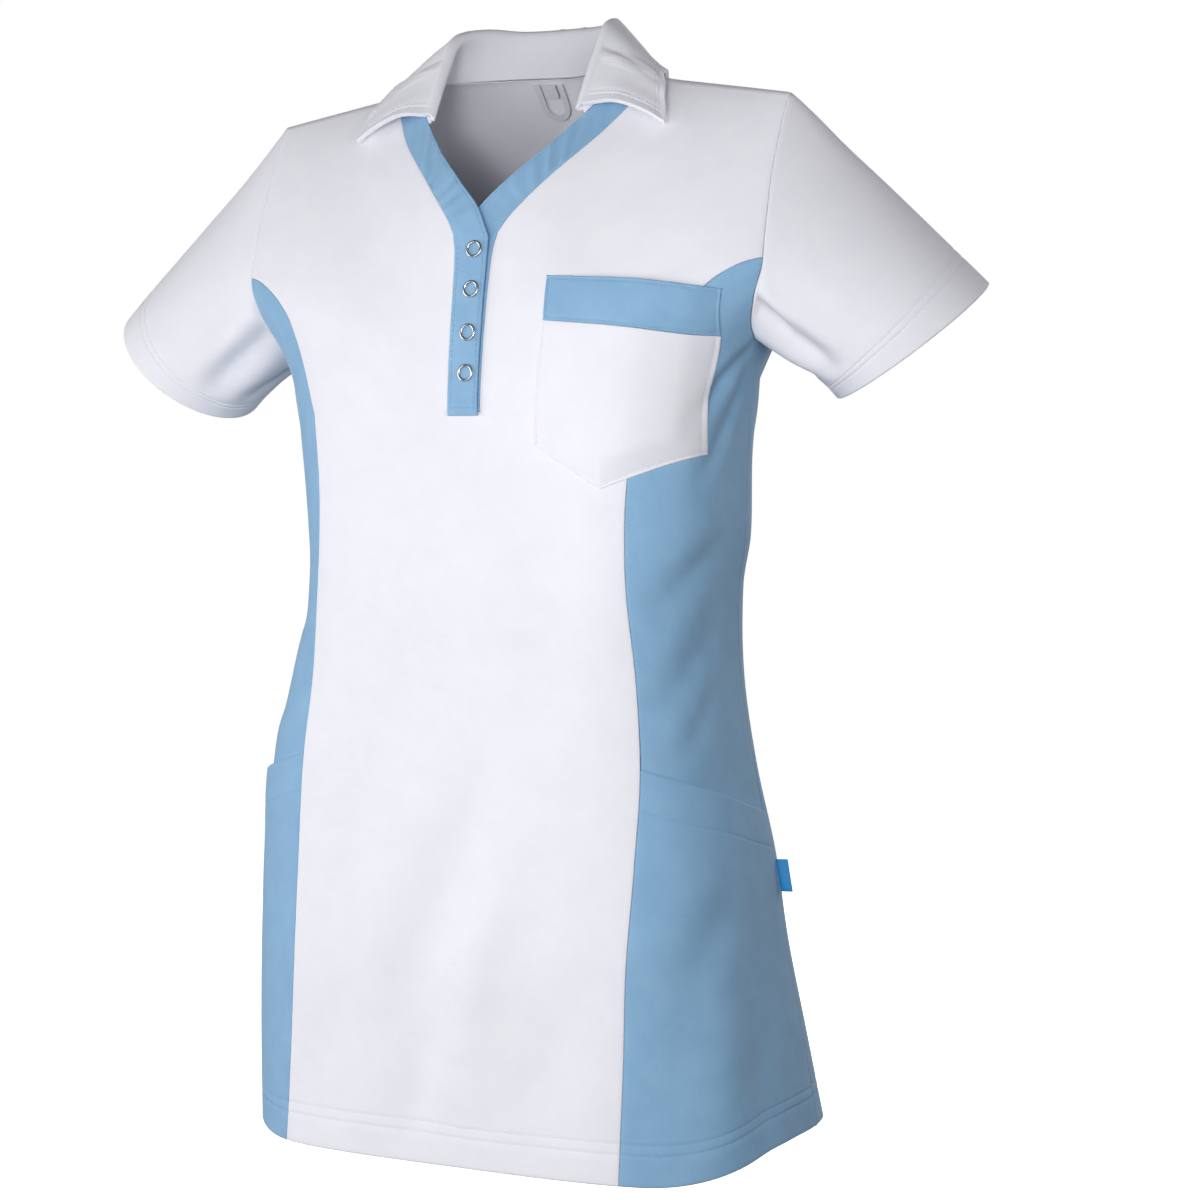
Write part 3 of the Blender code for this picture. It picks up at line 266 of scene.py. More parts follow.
def side_place(side, angle, height):
    """The place at an angle round the body and a height."""
    section = table_columns(TORSO, height)
    half_width = section[..., LEFT_HALF if side > 0 else RIGHT_HALF]
    squareness = np.where(angle <= 90, section[..., FRONT_SQUARENESS], section[..., BACK_SQUARENESS])
    x = half_width * round_the_body(np.radians(angle), squareness)[0]
    return np.stack([side * angle + 0 * x, reach_from_drop(shoulder_height(x) - height)], -1)


def armhole_place(side, down, back=False):
    """Places on the armhole seam, from 0 at the shoulder to 1 under the arm."""
    down = np.asarray(down, float)
    height = SHOULDER_TIP[1] - ARMHOLE_DEPTH * down
    x = SHOULDER_TIP[0] - (ARMHOLE_BACK_BITE * np.sin(math.pi * down) if back else 0)
    squareness = table_columns(TORSO, height)[..., BACK_SQUARENESS if back else FRONT_SQUARENESS]
    sideways = x / TORSO[0, LEFT_HALF]
    forward = (1 - sideways ** squareness) ** (1 / squareness)
    foot = np.maximum(1 - down ** ARMHOLE_FOOT_POWER, 0) ** ARMHOLE_FOOT_ROUNDING
    from_side = (90 - np.degrees(np.arctan2(sideways, forward))) * foot
    return side_place(side, 90 + from_side if back else 90 - from_side, height)


def hem_height(angle):
    round_side = np.sin(np.radians(angle)) ** 2
    return HEM + HEM_SIDE_RISE * ease((round_side - HEM_RISE_START) / (1 - HEM_RISE_START))


def hem_places(start, end, parts):
    """Places along the hem between two angles, at some parts of the way."""
    angle = start + (end - start) * parts
    from_front = np.degrees(np.arccos(np.cos(np.radians(angle))))
    left, right = (side_place(side, from_front, hem_height(angle)) for side in (1, -1))
    places = np.where((np.sin(np.radians(angle)) >= 0)[:, None], left, right)
    return np.stack([angle, places[:, 1]], -1)


def spaced(length, step=MESH_STEP, lines=()):
    """Distances from 0 to a length, closer together round the stitch lines."""
    marks = np.linspace(0, length, max(int(round(length / step)), 2) + 1)
    for line in lines:
        clear = (abs(marks - line) > 2.2 * GROOVE_HALF) | (marks == 0) | (marks == length)
        marks = np.append(marks[clear], line + GROOVE_HALF * np.array((-1.6, -0.8, 0, 0.8, 1.6)))
    return np.sort(marks)


def grooves(distance, lines):
    """The small trough that a row of stitches draws into the cloth."""
    return sum(-GROOVE_DEPTH * np.exp(-((distance - line) / GROOVE_HALF) ** 2) for line in lines)


def edge_heights(start, end, distances):
    """Heights up an edge that keep the distances at both of its ends."""
    total = distances[-1]
    return start + distances + (end - start - total) * ease(distances / total)


def patch(bottom, top, left, right, up, over):
    """Places between four edges that share their corners. Rows run from bottom to top."""
    up, over = up[:, None, None], over[None, :, None]
    sides = left[:, None] * (1 - over) + right[:, None] * over
    ends = bottom[None] * (1 - up) + top[None] * up
    corners = ((bottom[0] * (1 - over) + bottom[-1] * over) * (1 - up)
               + (top[0] * (1 - over) + top[-1] * over) * up)
    return sides + ends - corners


def lay_cloth(places, lift=0.0, creased=1.0):
    """Cloth on the form at a grid of places: its points, its normals and where it isn't turned in."""
    points, normals = torso_surface(places)
    rise = creased * crease_rise(places[..., 0], points[..., 2]) + lift
    return [points + normals * rise[..., None], normals, np.ones(places.shape[:-1] + (1,))]


def facing(cloth, edge, undo=False):
    """The cloth turned so that the named edge is its last row, or turned back."""
    for step in ("swap", "flip")[::-1 if undo else 1]:
        if step == "swap" and "column" in edge:
            cloth = [part.swapaxes(0, 1) for part in cloth]
        if step == "flip" and "first" in edge:
            cloth = [part[::-1] for part in cloth]
    return cloth


def roll_edge(cloth, edge, turned=None, flap=SEAM_FLAP, radius=SEAM_ROLL, along=None):
    """Rounds an edge inwards. It runs on inside as a seam's flap, or turned in as far as given."""
    points, normals, body = facing(cloth, edge)
    normal = normals[-1] if along is None else along
    out = points[-1] - points[-2]
    out = unit(out - normal * (out * normal).sum(-1, keepdims=True))
    size = radius * np.maximum(body[-1], 0.02)
    start = points[-1] - out * (size + SEAM_GAP)
    rows, turns = [start], [normal]
    end = math.pi if turned else math.pi / 2
    for bend in np.linspace(0, end, 7 if turned else 4)[1:]:
        rows.append(start + out * size * math.sin(bend) - normal * size * (1 - math.cos(bend)))
        turns.append(normal * math.cos(bend) + out * math.sin(bend))
    if turned:
        back = np.linalg.norm(points[-1] - points, axis=-1).mean(1)
        for row in range(len(points) - 2, -1, -1):
            if 2 * radius < back[row] <= turned:
                rows.append(points[row] - normals[row] * 2 * radius)
                turns.append(-normals[row])
    else:
        rows.append(rows[-1] - normal * flap * body[-1])
        turns.append(turns[-1])
    inside = np.zeros((len(rows) - 1,) + body.shape[1:])
    cloth = [np.concatenate([points[:-1], rows]), np.concatenate([normals[:-1], turns]),
             np.concatenate([body, inside])]
    return facing(cloth, edge, undo=True)


def roll_edges(cloth, edges, **how):
    for edge in edges:
        cloth = roll_edge(cloth, edge, **how)
    return cloth


def row_lines(cloth, distances, lines, margin=1):
    """Points and normals along the rows of a cloth where stitches run, short of its side edges."""
    rows = (int(np.argmin(abs(distances - line))) for line in lines)
    inside = slice(margin, -margin or None)
    return [(cloth[0][row, inside], cloth[1][row, inside]) for row in rows]


def grid_lengths(points):
    """Metres along the columns and up the rows of a grid, as the flat cloth measures them."""
    across = np.linalg.norm(np.diff(points, axis=1), axis=-1).mean(0)
    up = np.linalg.norm(np.diff(points, axis=0), axis=-1).mean(1)
    return np.append(0, np.cumsum(across)), np.append(0, np.cumsum(up))


def finish_mesh(name, mesh, materials):
    data = bpy.data.meshes.new(name)
    mesh.to_mesh(data)
    mesh.free()
    data.shade_smooth()
    for material in materials:
        data.materials.append(material)
    piece = bpy.data.objects.new(name, data)
    bpy.context.scene.collection.objects.link(piece)
    return piece


def sew(name, cloths, material, thickness=CLOTH, rounded=0.0):
    """A closed wall of cloth from grids that lie on its outer side, with a map in metres on it."""
    mesh = bmesh.new()
    mark = mesh.verts.layers.int.new("spot")
    chart = mesh.loops.layers.uv.new("cloth")
    normals, flat = [], []
    for points, turned, _ in cloths:
        columns = points.shape[1]
        across, up = grid_lengths(points)
        made = bmesh.ops.create_grid(mesh, x_segments=columns - 1, y_segments=len(points) - 1, size=1.0)
        for index, vert in enumerate(made["verts"]):
            row, column = divmod(index, columns)
            vert.co = points[row, column]
            vert[mark] = len(normals)
            normals.append(turned[row, column])
            flat.append((across[column] + 3 * points[0, 0, 0], up[row] + points[0, 0, 2]))
    for face in mesh.faces:
        for loop in face.loops:
            loop[chart].uv = flat[loop.vert[mark]]
    bmesh.ops.remove_doubles(mesh, verts=mesh.verts, dist=2e-6)
    bmesh.ops.dissolve_degenerate(mesh, edges=mesh.edges, dist=1e-6)
    copied = bmesh.ops.extrude_face_region(mesh, geom=mesh.faces[:], use_keep_orig=True)
    depths = np.broadcast_to(thickness, len(normals))
    for vert in (item for item in copied["geom"] if isinstance(item, bmesh.types.BMVert)):
        vert.co -= Vector(normals[vert[mark]]) * float(depths[vert[mark]])
    bmesh.ops.recalc_face_normals(mesh, faces=mesh.faces)
    if rounded:
        rim = [edge for edge in mesh.edges if edge.is_manifold and edge.calc_face_angle() > 1.1]
        bmesh.ops.bevel(mesh, geom=rim, offset=rounded, segments=3, profile=0.5, affect="EDGES",
                        material=-1, clamp_overlap=True)
    return finish_mesh(name, mesh, [material])


def linear(code):
    """A colour given as sRGB hex, in the linear values that a shader takes."""
    values = [int(code[start:start + 2], 16) / 255 for start in (1, 3, 5)]
    return [v / 12.92 if v <= 0.04045 else ((v + 0.055) / 1.055) ** 2.4 for v in values] + [1.0]


def add_node(material, kind, settings=None, links=None):
    """A node with its settings, by attribute or input, and what feeds its inputs."""
    node = material.node_tree.nodes.new(kind)
    for key, value in (settings or {}).items():
        if isinstance(key, str) and hasattr(node, key):
            setattr(node, key, value)
        else:
            node.inputs[key].default_value = value
    for key, source in (links or {}).items():
        material.node_tree.links.new(source, node.inputs[key])
    return node


def new_material(name, **shader_values):
    material = bpy.data.materials.new(name)
    material.use_nodes = True
    shader = material.node_tree.nodes["Principled BSDF"]
    for socket, value in shader_values.items():
        shader.inputs[socket.replace("_", " ")].default_value = value
    return material, shader


def pique_knit(name, light, dark, blotch, bump):
    """Pique knit of polyester and cotton: matt, with a faint nap, and small cells that catch light."""
    material, shader = new_material(name, Roughness=0.86, Sheen_Weight=0.22, Sheen_Roughness=0.45,
                                    Specular_IOR_Level=0.25)
    chart = add_node(material, "ShaderNodeUVMap", {"uv_map": "cloth"}).outputs["UV"]
    # Real cells are 1.0 mm apart; these are 1.7 mm, to show at all in the render
    wales = add_node(material, "ShaderNodeTexWave", {"bands_direction": "X", "Scale": 185.0,
                     "Distortion": 0.6, "Detail": 1.0, "Detail Scale": 2.0}, {"Vector": chart})
    courses = add_node(material, "ShaderNodeTexWave", {"bands_direction": "Y", "Scale": 185.0,
                       "Distortion": 0.6, "Detail": 1.0, "Detail Scale": 2.0}, {"Vector": chart})
    cells = add_node(material, "ShaderNodeMath", {"operation": "MULTIPLY"},
                     {0: wales.outputs["Fac"], 1: courses.outputs["Fac"]})
    # Fuzz and uneven yarn, about 1.5 mm, and slow clouding of 12 to 30 mm from the dye
    yarn = add_node(material, "ShaderNodeTexNoise", {"Scale": 640.0, "Detail": 3.0, "Roughness": 0.6},
                    {"Vector": chart})
    cloud = add_node(material, "ShaderNodeTexNoise", {"Scale": 42.0, "Detail": 4.0, "Roughness": 0.62},
                     {"Vector": chart})
    height = add_node(material, "ShaderNodeMath", {"operation": "MULTIPLY_ADD", 1: 0.6},
                      {0: yarn.outputs["Fac"], 2: cells.outputs["Value"]})
    relief = add_node(material, "ShaderNodeBump", {"Strength": bump, "Distance": 0.0004},
                      {"Height": height.outputs["Value"]})
    shade = add_node(material, "ShaderNodeMath", {"operation": "MULTIPLY_ADD", 1: 0.35},
                     {0: yarn.outputs["Fac"], 2: cloud.outputs["Fac"]})
    low, high = 0.68 - blotch, 0.68 + blotch
    tone = add_node(material, "ShaderNodeMapRange", {"From Min": low, "From Max": high},
                    {"Value": shade.outputs["Value"]})
    colour = add_node(material, "ShaderNodeMix", {"data_type": "RGBA", 6: linear(dark), 7: linear(light)},
                      {0: tone.outputs["Result"]})
    material.node_tree.links.new(colour.outputs[2], shader.inputs["Base Color"])
    material.node_tree.links.new(relief.outputs["Normal"], shader.inputs["Normal"])
    return material


def spun_thread(name, light, dark):
    """Spun polyester sewing thread: a soft shine, with the ply's twist as fine slanting bands."""
    material, shader = new_material(name, Roughness=0.55, Sheen_Weight=0.15)
    place_on = add_node(material, "ShaderNodeTexCoord").outputs["Object"]
    # A ply turns every 0.5 mm; the bands are 1 mm apart, to show
    twist = add_node(material, "ShaderNodeTexWave", {"bands_direction": "DIAGONAL", "Scale": 300.0},
                     {"Vector": place_on})
    colour = add_node(material, "ShaderNodeMix", {"data_type": "RGBA", 6: linear(dark), 7: linear(light)},
                      {0: twist.outputs["Fac"]})
    material.node_tree.links.new(colour.outputs[2], shader.inputs["Base Color"])
    return material


STITCH_LONG, STITCH_GAP, THREAD_HALF = 0.0024, 0.0010, 0.00024


def stitch(name, lines, material):
    """Rows of separate stitches, sunk a little into the cloth, along lines of (points, normals)."""
    mesh = bmesh.new()
    for points, normals in lines:
        steps = np.append(0, np.cumsum(np.linalg.norm(np.diff(points, axis=0), axis=1)))
        middles = np.arange(STITCH_LONG, steps[-1] - STITCH_LONG, STITCH_LONG + STITCH_GAP)
        at = [np.stack([np.interp(middles + ahead, steps, axis) for axis in points.T], -1)
              for ahead in (-STITCH_LONG / 2, 0, STITCH_LONG / 2)]
        up = unit(np.stack([np.interp(middles, steps, axis) for axis in normals.T], -1))
        ahead = unit(at[2] - at[0])
        square_up = unit(up - ahead * (up * ahead).sum(-1, keepdims=True))
        for middle, forward, lift in zip(at[1], ahead, square_up):
            turn = Matrix((forward, np.cross(lift, forward), lift)).transposed().to_4x4()
            size = Matrix.Diagonal((STITCH_LONG / 2, THREAD_HALF, THREAD_HALF * 0.9, 1))
            spot = Matrix.Translation(middle + lift * THREAD_HALF * 0.35)
            bmesh.ops.create_uvsphere(mesh, u_segments=6, v_segments=4, radius=1.0,
                                      matrix=spot @ turn @ size @ Matrix.Rotation(math.pi / 2, 4, "Y"))
    piece = finish_mesh(name, mesh, [material])
    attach(piece, "root")
    return piece


def fit(piece, node):
    """The piece moves with the tunic's one body and stands for its solid."""
    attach(piece, "root")
    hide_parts(node)


def even_parts(start, end, count):
    return np.linspace(start, end, count + 1)


def princess_low(side, heights):
    """Places up the princess seam below the slit's foot."""
    places = place(side * table_columns(PRINCESS_LOW, heights)[..., 1], heights)
    places[0] = hem_places(places[0, 0], places[0, 0], np.zeros(1))[0] if heights[0] <= HEM else places[0]
    return places


def princess_high(side, parts):
    """Places up the princess seam from the slit's foot to the armhole."""
    curve = curve_through(PRINCESS_HIGH, parts)
    places = place(side * curve[:, 1], curve[:, 0])
    places[-1] = armhole_place(side, ARMHOLE_JUNCTION)
    return places


def band_seam(side, slit_parts, open_parts):
    """Seam of the neck band and the front, as distances to the left and heights."""
    slit = curve_through(NECKLINE_SLIT, slit_parts)
    top = ((float(shoulder_height(BAND_TOP_X)), BAND_TOP_X),)
    opening = curve_through(NECKLINE_OPEN + top, open_parts)
    both = np.vstack([slit, opening[1:]])
    return np.stack([side * both[:, 1], both[:, 0]], -1)


def shoulder_places(side, start, end, parts, back=False):
    x = side * (start + (end - start) * parts)
    return place(x, shoulder_height(x), back)


WHITE = pique_knit("White pique knit", "#F2F1F5", "#EFEEF3", 0.16, 0.13)
WHITE_THREAD = spun_thread("White spun polyester thread", "#F4F3F6", "#E2E1E8")

WING_COLUMNS, SLIT_COLUMNS, HIGH_ROWS, ARM_ROWS = 34, 8, 34, 34
low_rows = spaced(SLIT_FOOT - HEM, lines=HEM_STITCHES)
wing_parts, slit_parts = even_parts(0, 1, WING_COLUMNS), even_parts(0, 1, SLIT_COLUMNS)
slit_x = NECKLINE_SLIT[0][1]
princess = {side: princess_low(side, HEM + low_rows) for side in (-1, 1)}
corner_angles = [princess[-1][-1, 0], place(-slit_x, SLIT_FOOT)[0], place(slit_x, SLIT_FOOT)[0],
                 princess[1][-1, 0]]
level_angles = np.concatenate([
    np.linspace(corner_angles[0], corner_angles[1], WING_COLUMNS + 1),
    np.linspace(corner_angles[1], corner_angles[2], SLIT_COLUMNS + 1)[1:],
    np.linspace(corner_angles[2], corner_angles[3], WING_COLUMNS + 1)[1:]])
level_left, level_right = (side_place(side, abs(level_angles), SLIT_FOOT + 0 * level_angles)
                           for side in (1, -1))
level = np.where((level_angles >= 0)[:, None], level_left, level_right)
over = np.linspace(0, 1, len(level))
hem_line = hem_places(princess[-1][0, 0], princess[1][0, 0], over)
places = patch(hem_line, level, princess[-1], princess[1], low_rows / low_rows[-1], over)
low_front = lay_cloth(places, grooves(low_rows, HEM_STITCHES)[:, None])
front_hem_lines = row_lines(low_front, low_rows, HEM_STITCHES)
low_front = roll_edge(low_front, "first row", turned=HEM_TURN, radius=HEM_ROLL)
front = [roll_edges(low_front, ("first column", "last column"))]
high_parts, arm_parts = even_parts(0, 1, HIGH_ROWS), even_parts(1, 0, ARM_ROWS)
for side in (-1, 1):
    armhole = armhole_place(side, ARMHOLE_JUNCTION * arm_parts)
    outer = np.vstack([princess_high(side, high_parts), armhole[1:]])
    inner = place(*band_seam(side, high_parts, even_parts(0, 1, ARM_ROWS)).T)
    foot = level[-WING_COLUMNS - 1:] if side > 0 else level[WING_COLUMNS::-1]
    shoulder = shoulder_places(side, BAND_TOP_X, SHOULDER_TIP[0], wing_parts)
    up = np.linspace(0, 1, len(outer))
    wing = lay_cloth(patch(foot, shoulder, inner, outer, up, wing_parts))
    front.append(roll_edges(wing, ("first column", "last row", "last column")))
front_centre = sew("cloth_front_centre", front, WHITE)
fit(front_centre, "front_centre")
front_thread = stitch("stitches_front_hem", front_hem_lines, WHITE_THREAD)


# Side fronts and hip pockets
# Blue side fronts of the same knit run from the princess seam round to the side seam. Each has a
# patch pocket below, whose slanting mouth is turned in 26 mm and stitched, and stands a little proud.

POCKET_BAG_FOOT = -0.600
MOUTH_AT_PRINCESS, MOUTH_AT_SIDE = -0.447, -0.484
UNDERARM = SHOULDER_TIP[1] - ARMHOLE_DEPTH
SIDE_SEAM = np.array((
    (-0.175, 90.0), (-0.230, 96.0), (-0.330, 98.0), (-0.480, 106.0), (-0.600, 104.0), (-0.710, 99.0),
))
BAG_RECESS_MIDDLE, BAG_RECESS_SEAM, RECESS_RUN = 0.0024, 0.0013, 0.045
MOUTH_STAND, MOUTH_STAND_RUN, MOUTH_HEM = 0.0026, 0.060, 0.0260
MOUTH_TURN = MOUTH_HEM + 0.002
SIDE_COLUMNS = 42

BLUE = pique_knit("Light blue pique knit", "#90B9D8", "#89B2D2", 0.15, 0.17)
BLUE_THREAD = spun_thread("Light blue spun polyester thread", "#8DB6DA", "#7AA4CB")


def side_seam(side, heights):
    return side_place(side, table_columns(SIDE_SEAM, heights)[..., 1], heights)


def side_hem_angle():
    return float(table_columns(SIDE_SEAM, np.array(HEM))[1])


side_over = np.linspace(0, 1, SIDE_COLUMNS + 1)
side_foot = np.array((HEM, float(hem_height(side_hem_angle()))))
arm_down = ARMHOLE_JUNCTION + (1 - ARMHOLE_JUNCTION) * np.sin(side_over * math.pi / 2)
for name, side in (("right", -1), ("left", 1)):
    bag_rows = spaced(MOUTH_AT_PRINCESS - POCKET_BAG_FOOT)
    mouth_rows = spaced(SLIT_FOOT - MOUTH_AT_PRINCESS)
    low = np.concatenate([POCKET_BAG_FOOT + bag_rows, MOUTH_AT_PRINCESS + mouth_rows[1:]])
    inner = np.vstack([princess_low(side, low), princess_high(side, high_parts)[1:]])
    above = len(inner) - len(bag_rows)
    bag_side = POCKET_BAG_FOOT + (MOUTH_AT_SIDE - POCKET_BAG_FOOT) * bag_rows / bag_rows[-1]
    outer = side_seam(side, np.append(bag_side, np.linspace(MOUTH_AT_SIDE, UNDERARM, above + 1)[1:]))
    foot = inner[0] + (outer[0] - inner[0]) * side_over[:, None]
    up = np.linspace(0, 1, len(inner))
    places = patch(foot, armhole_place(side, arm_down), inner, outer, up, side_over)
    above_mouth = (np.arange(len(inner)) - len(bag_rows) + 1)[:, None] * MESH_STEP
    across = np.sin(math.pi * side_over)[None] ** 0.7
    recess = BAG_RECESS_SEAM + (BAG_RECESS_MIDDLE - BAG_RECESS_SEAM) * across
    panel = lay_cloth(places, -recess * ease(1 - above_mouth / RECESS_RUN))
    panel = roll_edges(panel, ("last row", "first column", "last column"))
    side_front = sew("cloth_front_side_" + name, [panel], BLUE)
    fit(side_front, "front_side_" + name)

    total = MOUTH_AT_PRINCESS - HEM
    pocket_lines = HEM_STITCHES + (total - MOUTH_HEM,)
    rows = spaced(total, lines=pocket_lines)
    inner = princess_low(side, edge_heights(side_foot[0], MOUTH_AT_PRINCESS, rows))
    outer = side_seam(side, edge_heights(side_foot[1], MOUTH_AT_SIDE, rows))
    hem_line = hem_places(inner[0, 0], side * side_hem_angle(), side_over)
    outer[0] = hem_line[-1]
    mouth = inner[-1] + (outer[-1] - inner[-1]) * side_over[:, None]
    places = patch(hem_line, mouth, inner, outer, rows / rows[-1], side_over)
    stand = (MOUTH_STAND * np.sin(math.pi * side_over)[None] ** 1.5
             * ease(1 - (total - rows[:, None]) / MOUTH_STAND_RUN))
    pocket = lay_cloth(places, stand + grooves(rows, pocket_lines)[:, None])
    lines = row_lines(pocket, rows, pocket_lines)
    pocket = roll_edge(pocket, "last row", turned=MOUTH_TURN, radius=HEM_ROLL)
    pocket = roll_edge(pocket, "first row", turned=HEM_TURN, radius=HEM_ROLL)
    pocket = roll_edges(pocket, ("first column", "last column"))
    hip_pocket = sew("cloth_hip_pocket_" + name, [pocket], BLUE)
    fit(hip_pocket, "hip_pocket_" + name)
    pocket_thread = stitch("stitches_hip_pocket_" + name, lines, BLUE_THREAD)


# Back
# The back isn't seen in the photo: a white centre back between two blue side backs, cut from the same
# knit with the same turned hem, which is how such a tunic is made.

BACK_PRINCESS = (
    (-0.707, 0.1150), (-0.573, 0.1120), (-0.453, 0.1060), (-0.333, 0.0930), (-0.220, 0.1030),
    (-0.175, 0.1230), (-0.150, 0.1440), (-0.136, 0.1640), (-0.128, 0.1790), (-0.1245, 0.1870),
)
NECK_POINT_X = 0.0770
BACK_NECK_HEIGHT = 0.0137
NECK_COLUMNS = 22
BACK_SEAM_LENGTH, BACK_SMOOTHINGS = 0.612, 80
# Parts of the way up the back's side that lie below its armhole and beside it
BELOW_ARMHOLE, BESIDE_ARMHOLE = 0.85, 0.15


def back_princess(side, parts):
    curve = curve_through(BACK_PRINCESS, parts)
    places = place(side * curve[:, 1], curve[:, 0], True)
    places[0] = hem_places(places[0, 0], places[0, 0], np.zeros(1))[0]
    places[-1] = armhole_place(side, ARMHOLE_JUNCTION, back=True)
    return places


def collar_seam_back(side, parts):
    """Places from the neck point to the centre back."""
    rise = BACK_NECK_HEIGHT - float(shoulder_height(NECK_POINT_X))
    x = NECK_POINT_X * (1 - parts)
    return place(side * x, BACK_NECK_HEIGHT - rise * (x / NECK_POINT_X) ** 2, True)


back_rows = spaced(BACK_SEAM_LENGTH, lines=HEM_STITCHES)
back_parts = back_rows / BACK_SEAM_LENGTH
edges = {}
for side in (-1, 1):
    armhole = armhole_place(side, ARMHOLE_JUNCTION * arm_parts, back=True)
    edges[side] = np.vstack([back_princess(side, back_parts), armhole[1:]])
half_tops = {}
for side in (-1, 1):
    shoulder = shoulder_places(side, SHOULDER_TIP[0], NECK_POINT_X, wing_parts, back=True)
    half_tops[side] = np.vstack([shoulder, collar_seam_back(side, even_parts(0, 1, NECK_COLUMNS))[1:]])
top = np.vstack([half_tops[-1], half_tops[1][-2::-1]])
for whole in (top, edges[-1], edges[1]):
    whole[:, 0] %= 360
over = np.linspace(0, 1, len(top))
hem_line = hem_places(edges[-1][0, 0], edges[1][0, 0], over)
up = np.append(back_parts * BELOW_ARMHOLE, 1 - BESIDE_ARMHOLE * arm_parts[1:])
places = patch(hem_line, top, edges[-1], edges[1], up, over)
upper = places[len(back_rows) // 2:]
for _ in range(BACK_SMOOTHINGS):
    upper[1:-1, 1:-1] = (upper[:-2, 1:-1] + upper[2:, 1:-1] + upper[1:-1, :-2] + upper[1:-1, 2:]) / 4
stitch_dip = np.append(grooves(back_rows, HEM_STITCHES), np.zeros(ARM_ROWS))
back = lay_cloth(places, stitch_dip[:, None])
lines = row_lines(back, back_rows, HEM_STITCHES)
back = roll_edge(back, "first row", turned=HEM_TURN, radius=HEM_ROLL)
back = roll_edges(back, ("first column", "last column"))
back = roll_edge(back, "last row", flap=SHORT_FLAP)
back_centre = sew("cloth_back_centre", [back], WHITE)
fit(back_centre, "back_centre")
back_thread = stitch("stitches_back_hem", lines, WHITE_THREAD)

for name, side in (("right", -1), ("left", 1)):
    princess_side = back_princess(side, back_parts)
    top_height = UNDERARM - side_foot[1]
    heights = side_foot[1] + back_rows + (top_height - BACK_SEAM_LENGTH) * ease(back_parts)
    seam = side_seam(side, heights)
    hem_line = hem_places(side * side_hem_angle(), princess_side[0, 0], side_over)
    seam[0] = hem_line[0]
    armhole = armhole_place(side, arm_down[::-1], back=True)
    places = patch(hem_line, armhole, seam, princess_side, back_parts, side_over)
    panel = lay_cloth(places, grooves(back_rows, HEM_STITCHES)[:, None])
    lines = row_lines(panel, back_rows, HEM_STITCHES)
    panel = roll_edge(panel, "first row", turned=HEM_TURN, radius=HEM_ROLL)
    panel = roll_edges(panel, ("first column", "last column", "last row"))
    side_back = sew("cloth_back_side_" + name, [panel], BLUE)
    fit(side_back, "back_side_" + name)
    side_thread = stitch("stitches_back_side_" + name, lines, BLUE_THREAD)


# Sleeves
# Short set-in sleeves of the white knit. The crown leaves the shoulder outwards and the cloth falls
# to a cuff that is turned in 30 mm and held by two rows of stitches 25 mm up.

SLEEVE_CROWN, SLEEVE_FALL = 0.33, 0.55
CUFFS = {
    "left": dict(centre=(0.2631, 0.0398, -0.1745), slope=52.0, sweep=36.5, high=0.062, deep=0.050,
                 cut=0.0496),
    "right": dict(centre=(-0.2825, 0.0060, -0.1800), slope=49.5, sweep=21.0, high=0.063, deep=0.050,
                  cut=0.0551),
}
SLEEVE_AROUND, SLEEVE_DOWN = 0.37, 0.145
SLEEVE_CREASE_END = 0.6
SMOOTHINGS, SMOOTHING_RUN = 16, 0.35
CUFF_STITCHES = (0.0205, 0.0262)
# Turn round the sleeve and part of the way down of each end, half width, rise. Turn 0 is the top.
SLEEVE_CREASES = {
    "left": ((0.360, -0.05, 0.402, 0.70, 0.0080, -0.0068), (0.335, -0.08, 0.372, 0.26, 0.0045, -0.0050),
             (0.425, 0.02, 0.445, 0.72, 0.0070, 0.0012), (0.50, 0.03, 0.48, 0.60, 0.0080, -0.0026),
             (0.60, 0.10, 0.66, 0.80, 0.0120, -0.0034), (0.80, 0.05, 0.74, 0.70, 0.0120, -0.0026)),
    "right": ((0.366, -0.05, 0.402, 0.70, 0.0080, -0.0062), (0.300, 0.05, 0.345, 0.52, 0.0080, -0.0016),
              (0.432, 0.05, 0.460, 0.85, 0.0080, 0.0014), (0.51, 0.03, 0.50, 0.65, 0.0080, -0.0024),
              (0.62, 0.10, 0.68, 0.85, 0.0120, -0.0032), (0.82, 0.05, 0.76, 0.75, 0.0120, -0.0024)),
}


def sleeve_rise(name, turn, part):
    total = np.zeros(np.broadcast(turn, part).shape)
    for start_turn, start, end_turn, end, half_width, rise in SLEEVE_CREASES[name]:
        x, y = ((turn - start_turn + 0.5) % 1 - 0.5) * SLEEVE_AROUND, (part - start) * SLEEVE_DOWN
        run = ((end_turn - start_turn) * SLEEVE_AROUND, (end - start) * SLEEVE_DOWN)
        way = np.clip((x * run[0] + y * run[1]) / (run[0] ** 2 + run[1] ** 2), 0, 1)
        off = np.hypot(x - way * run[0], y - way * run[1])
        total += (rise * crease_profile(off, half_width)
                  * np.sin(math.pi * np.clip(way, 0.04, 0.96)) ** SLEEVE_CREASE_END)
    return total


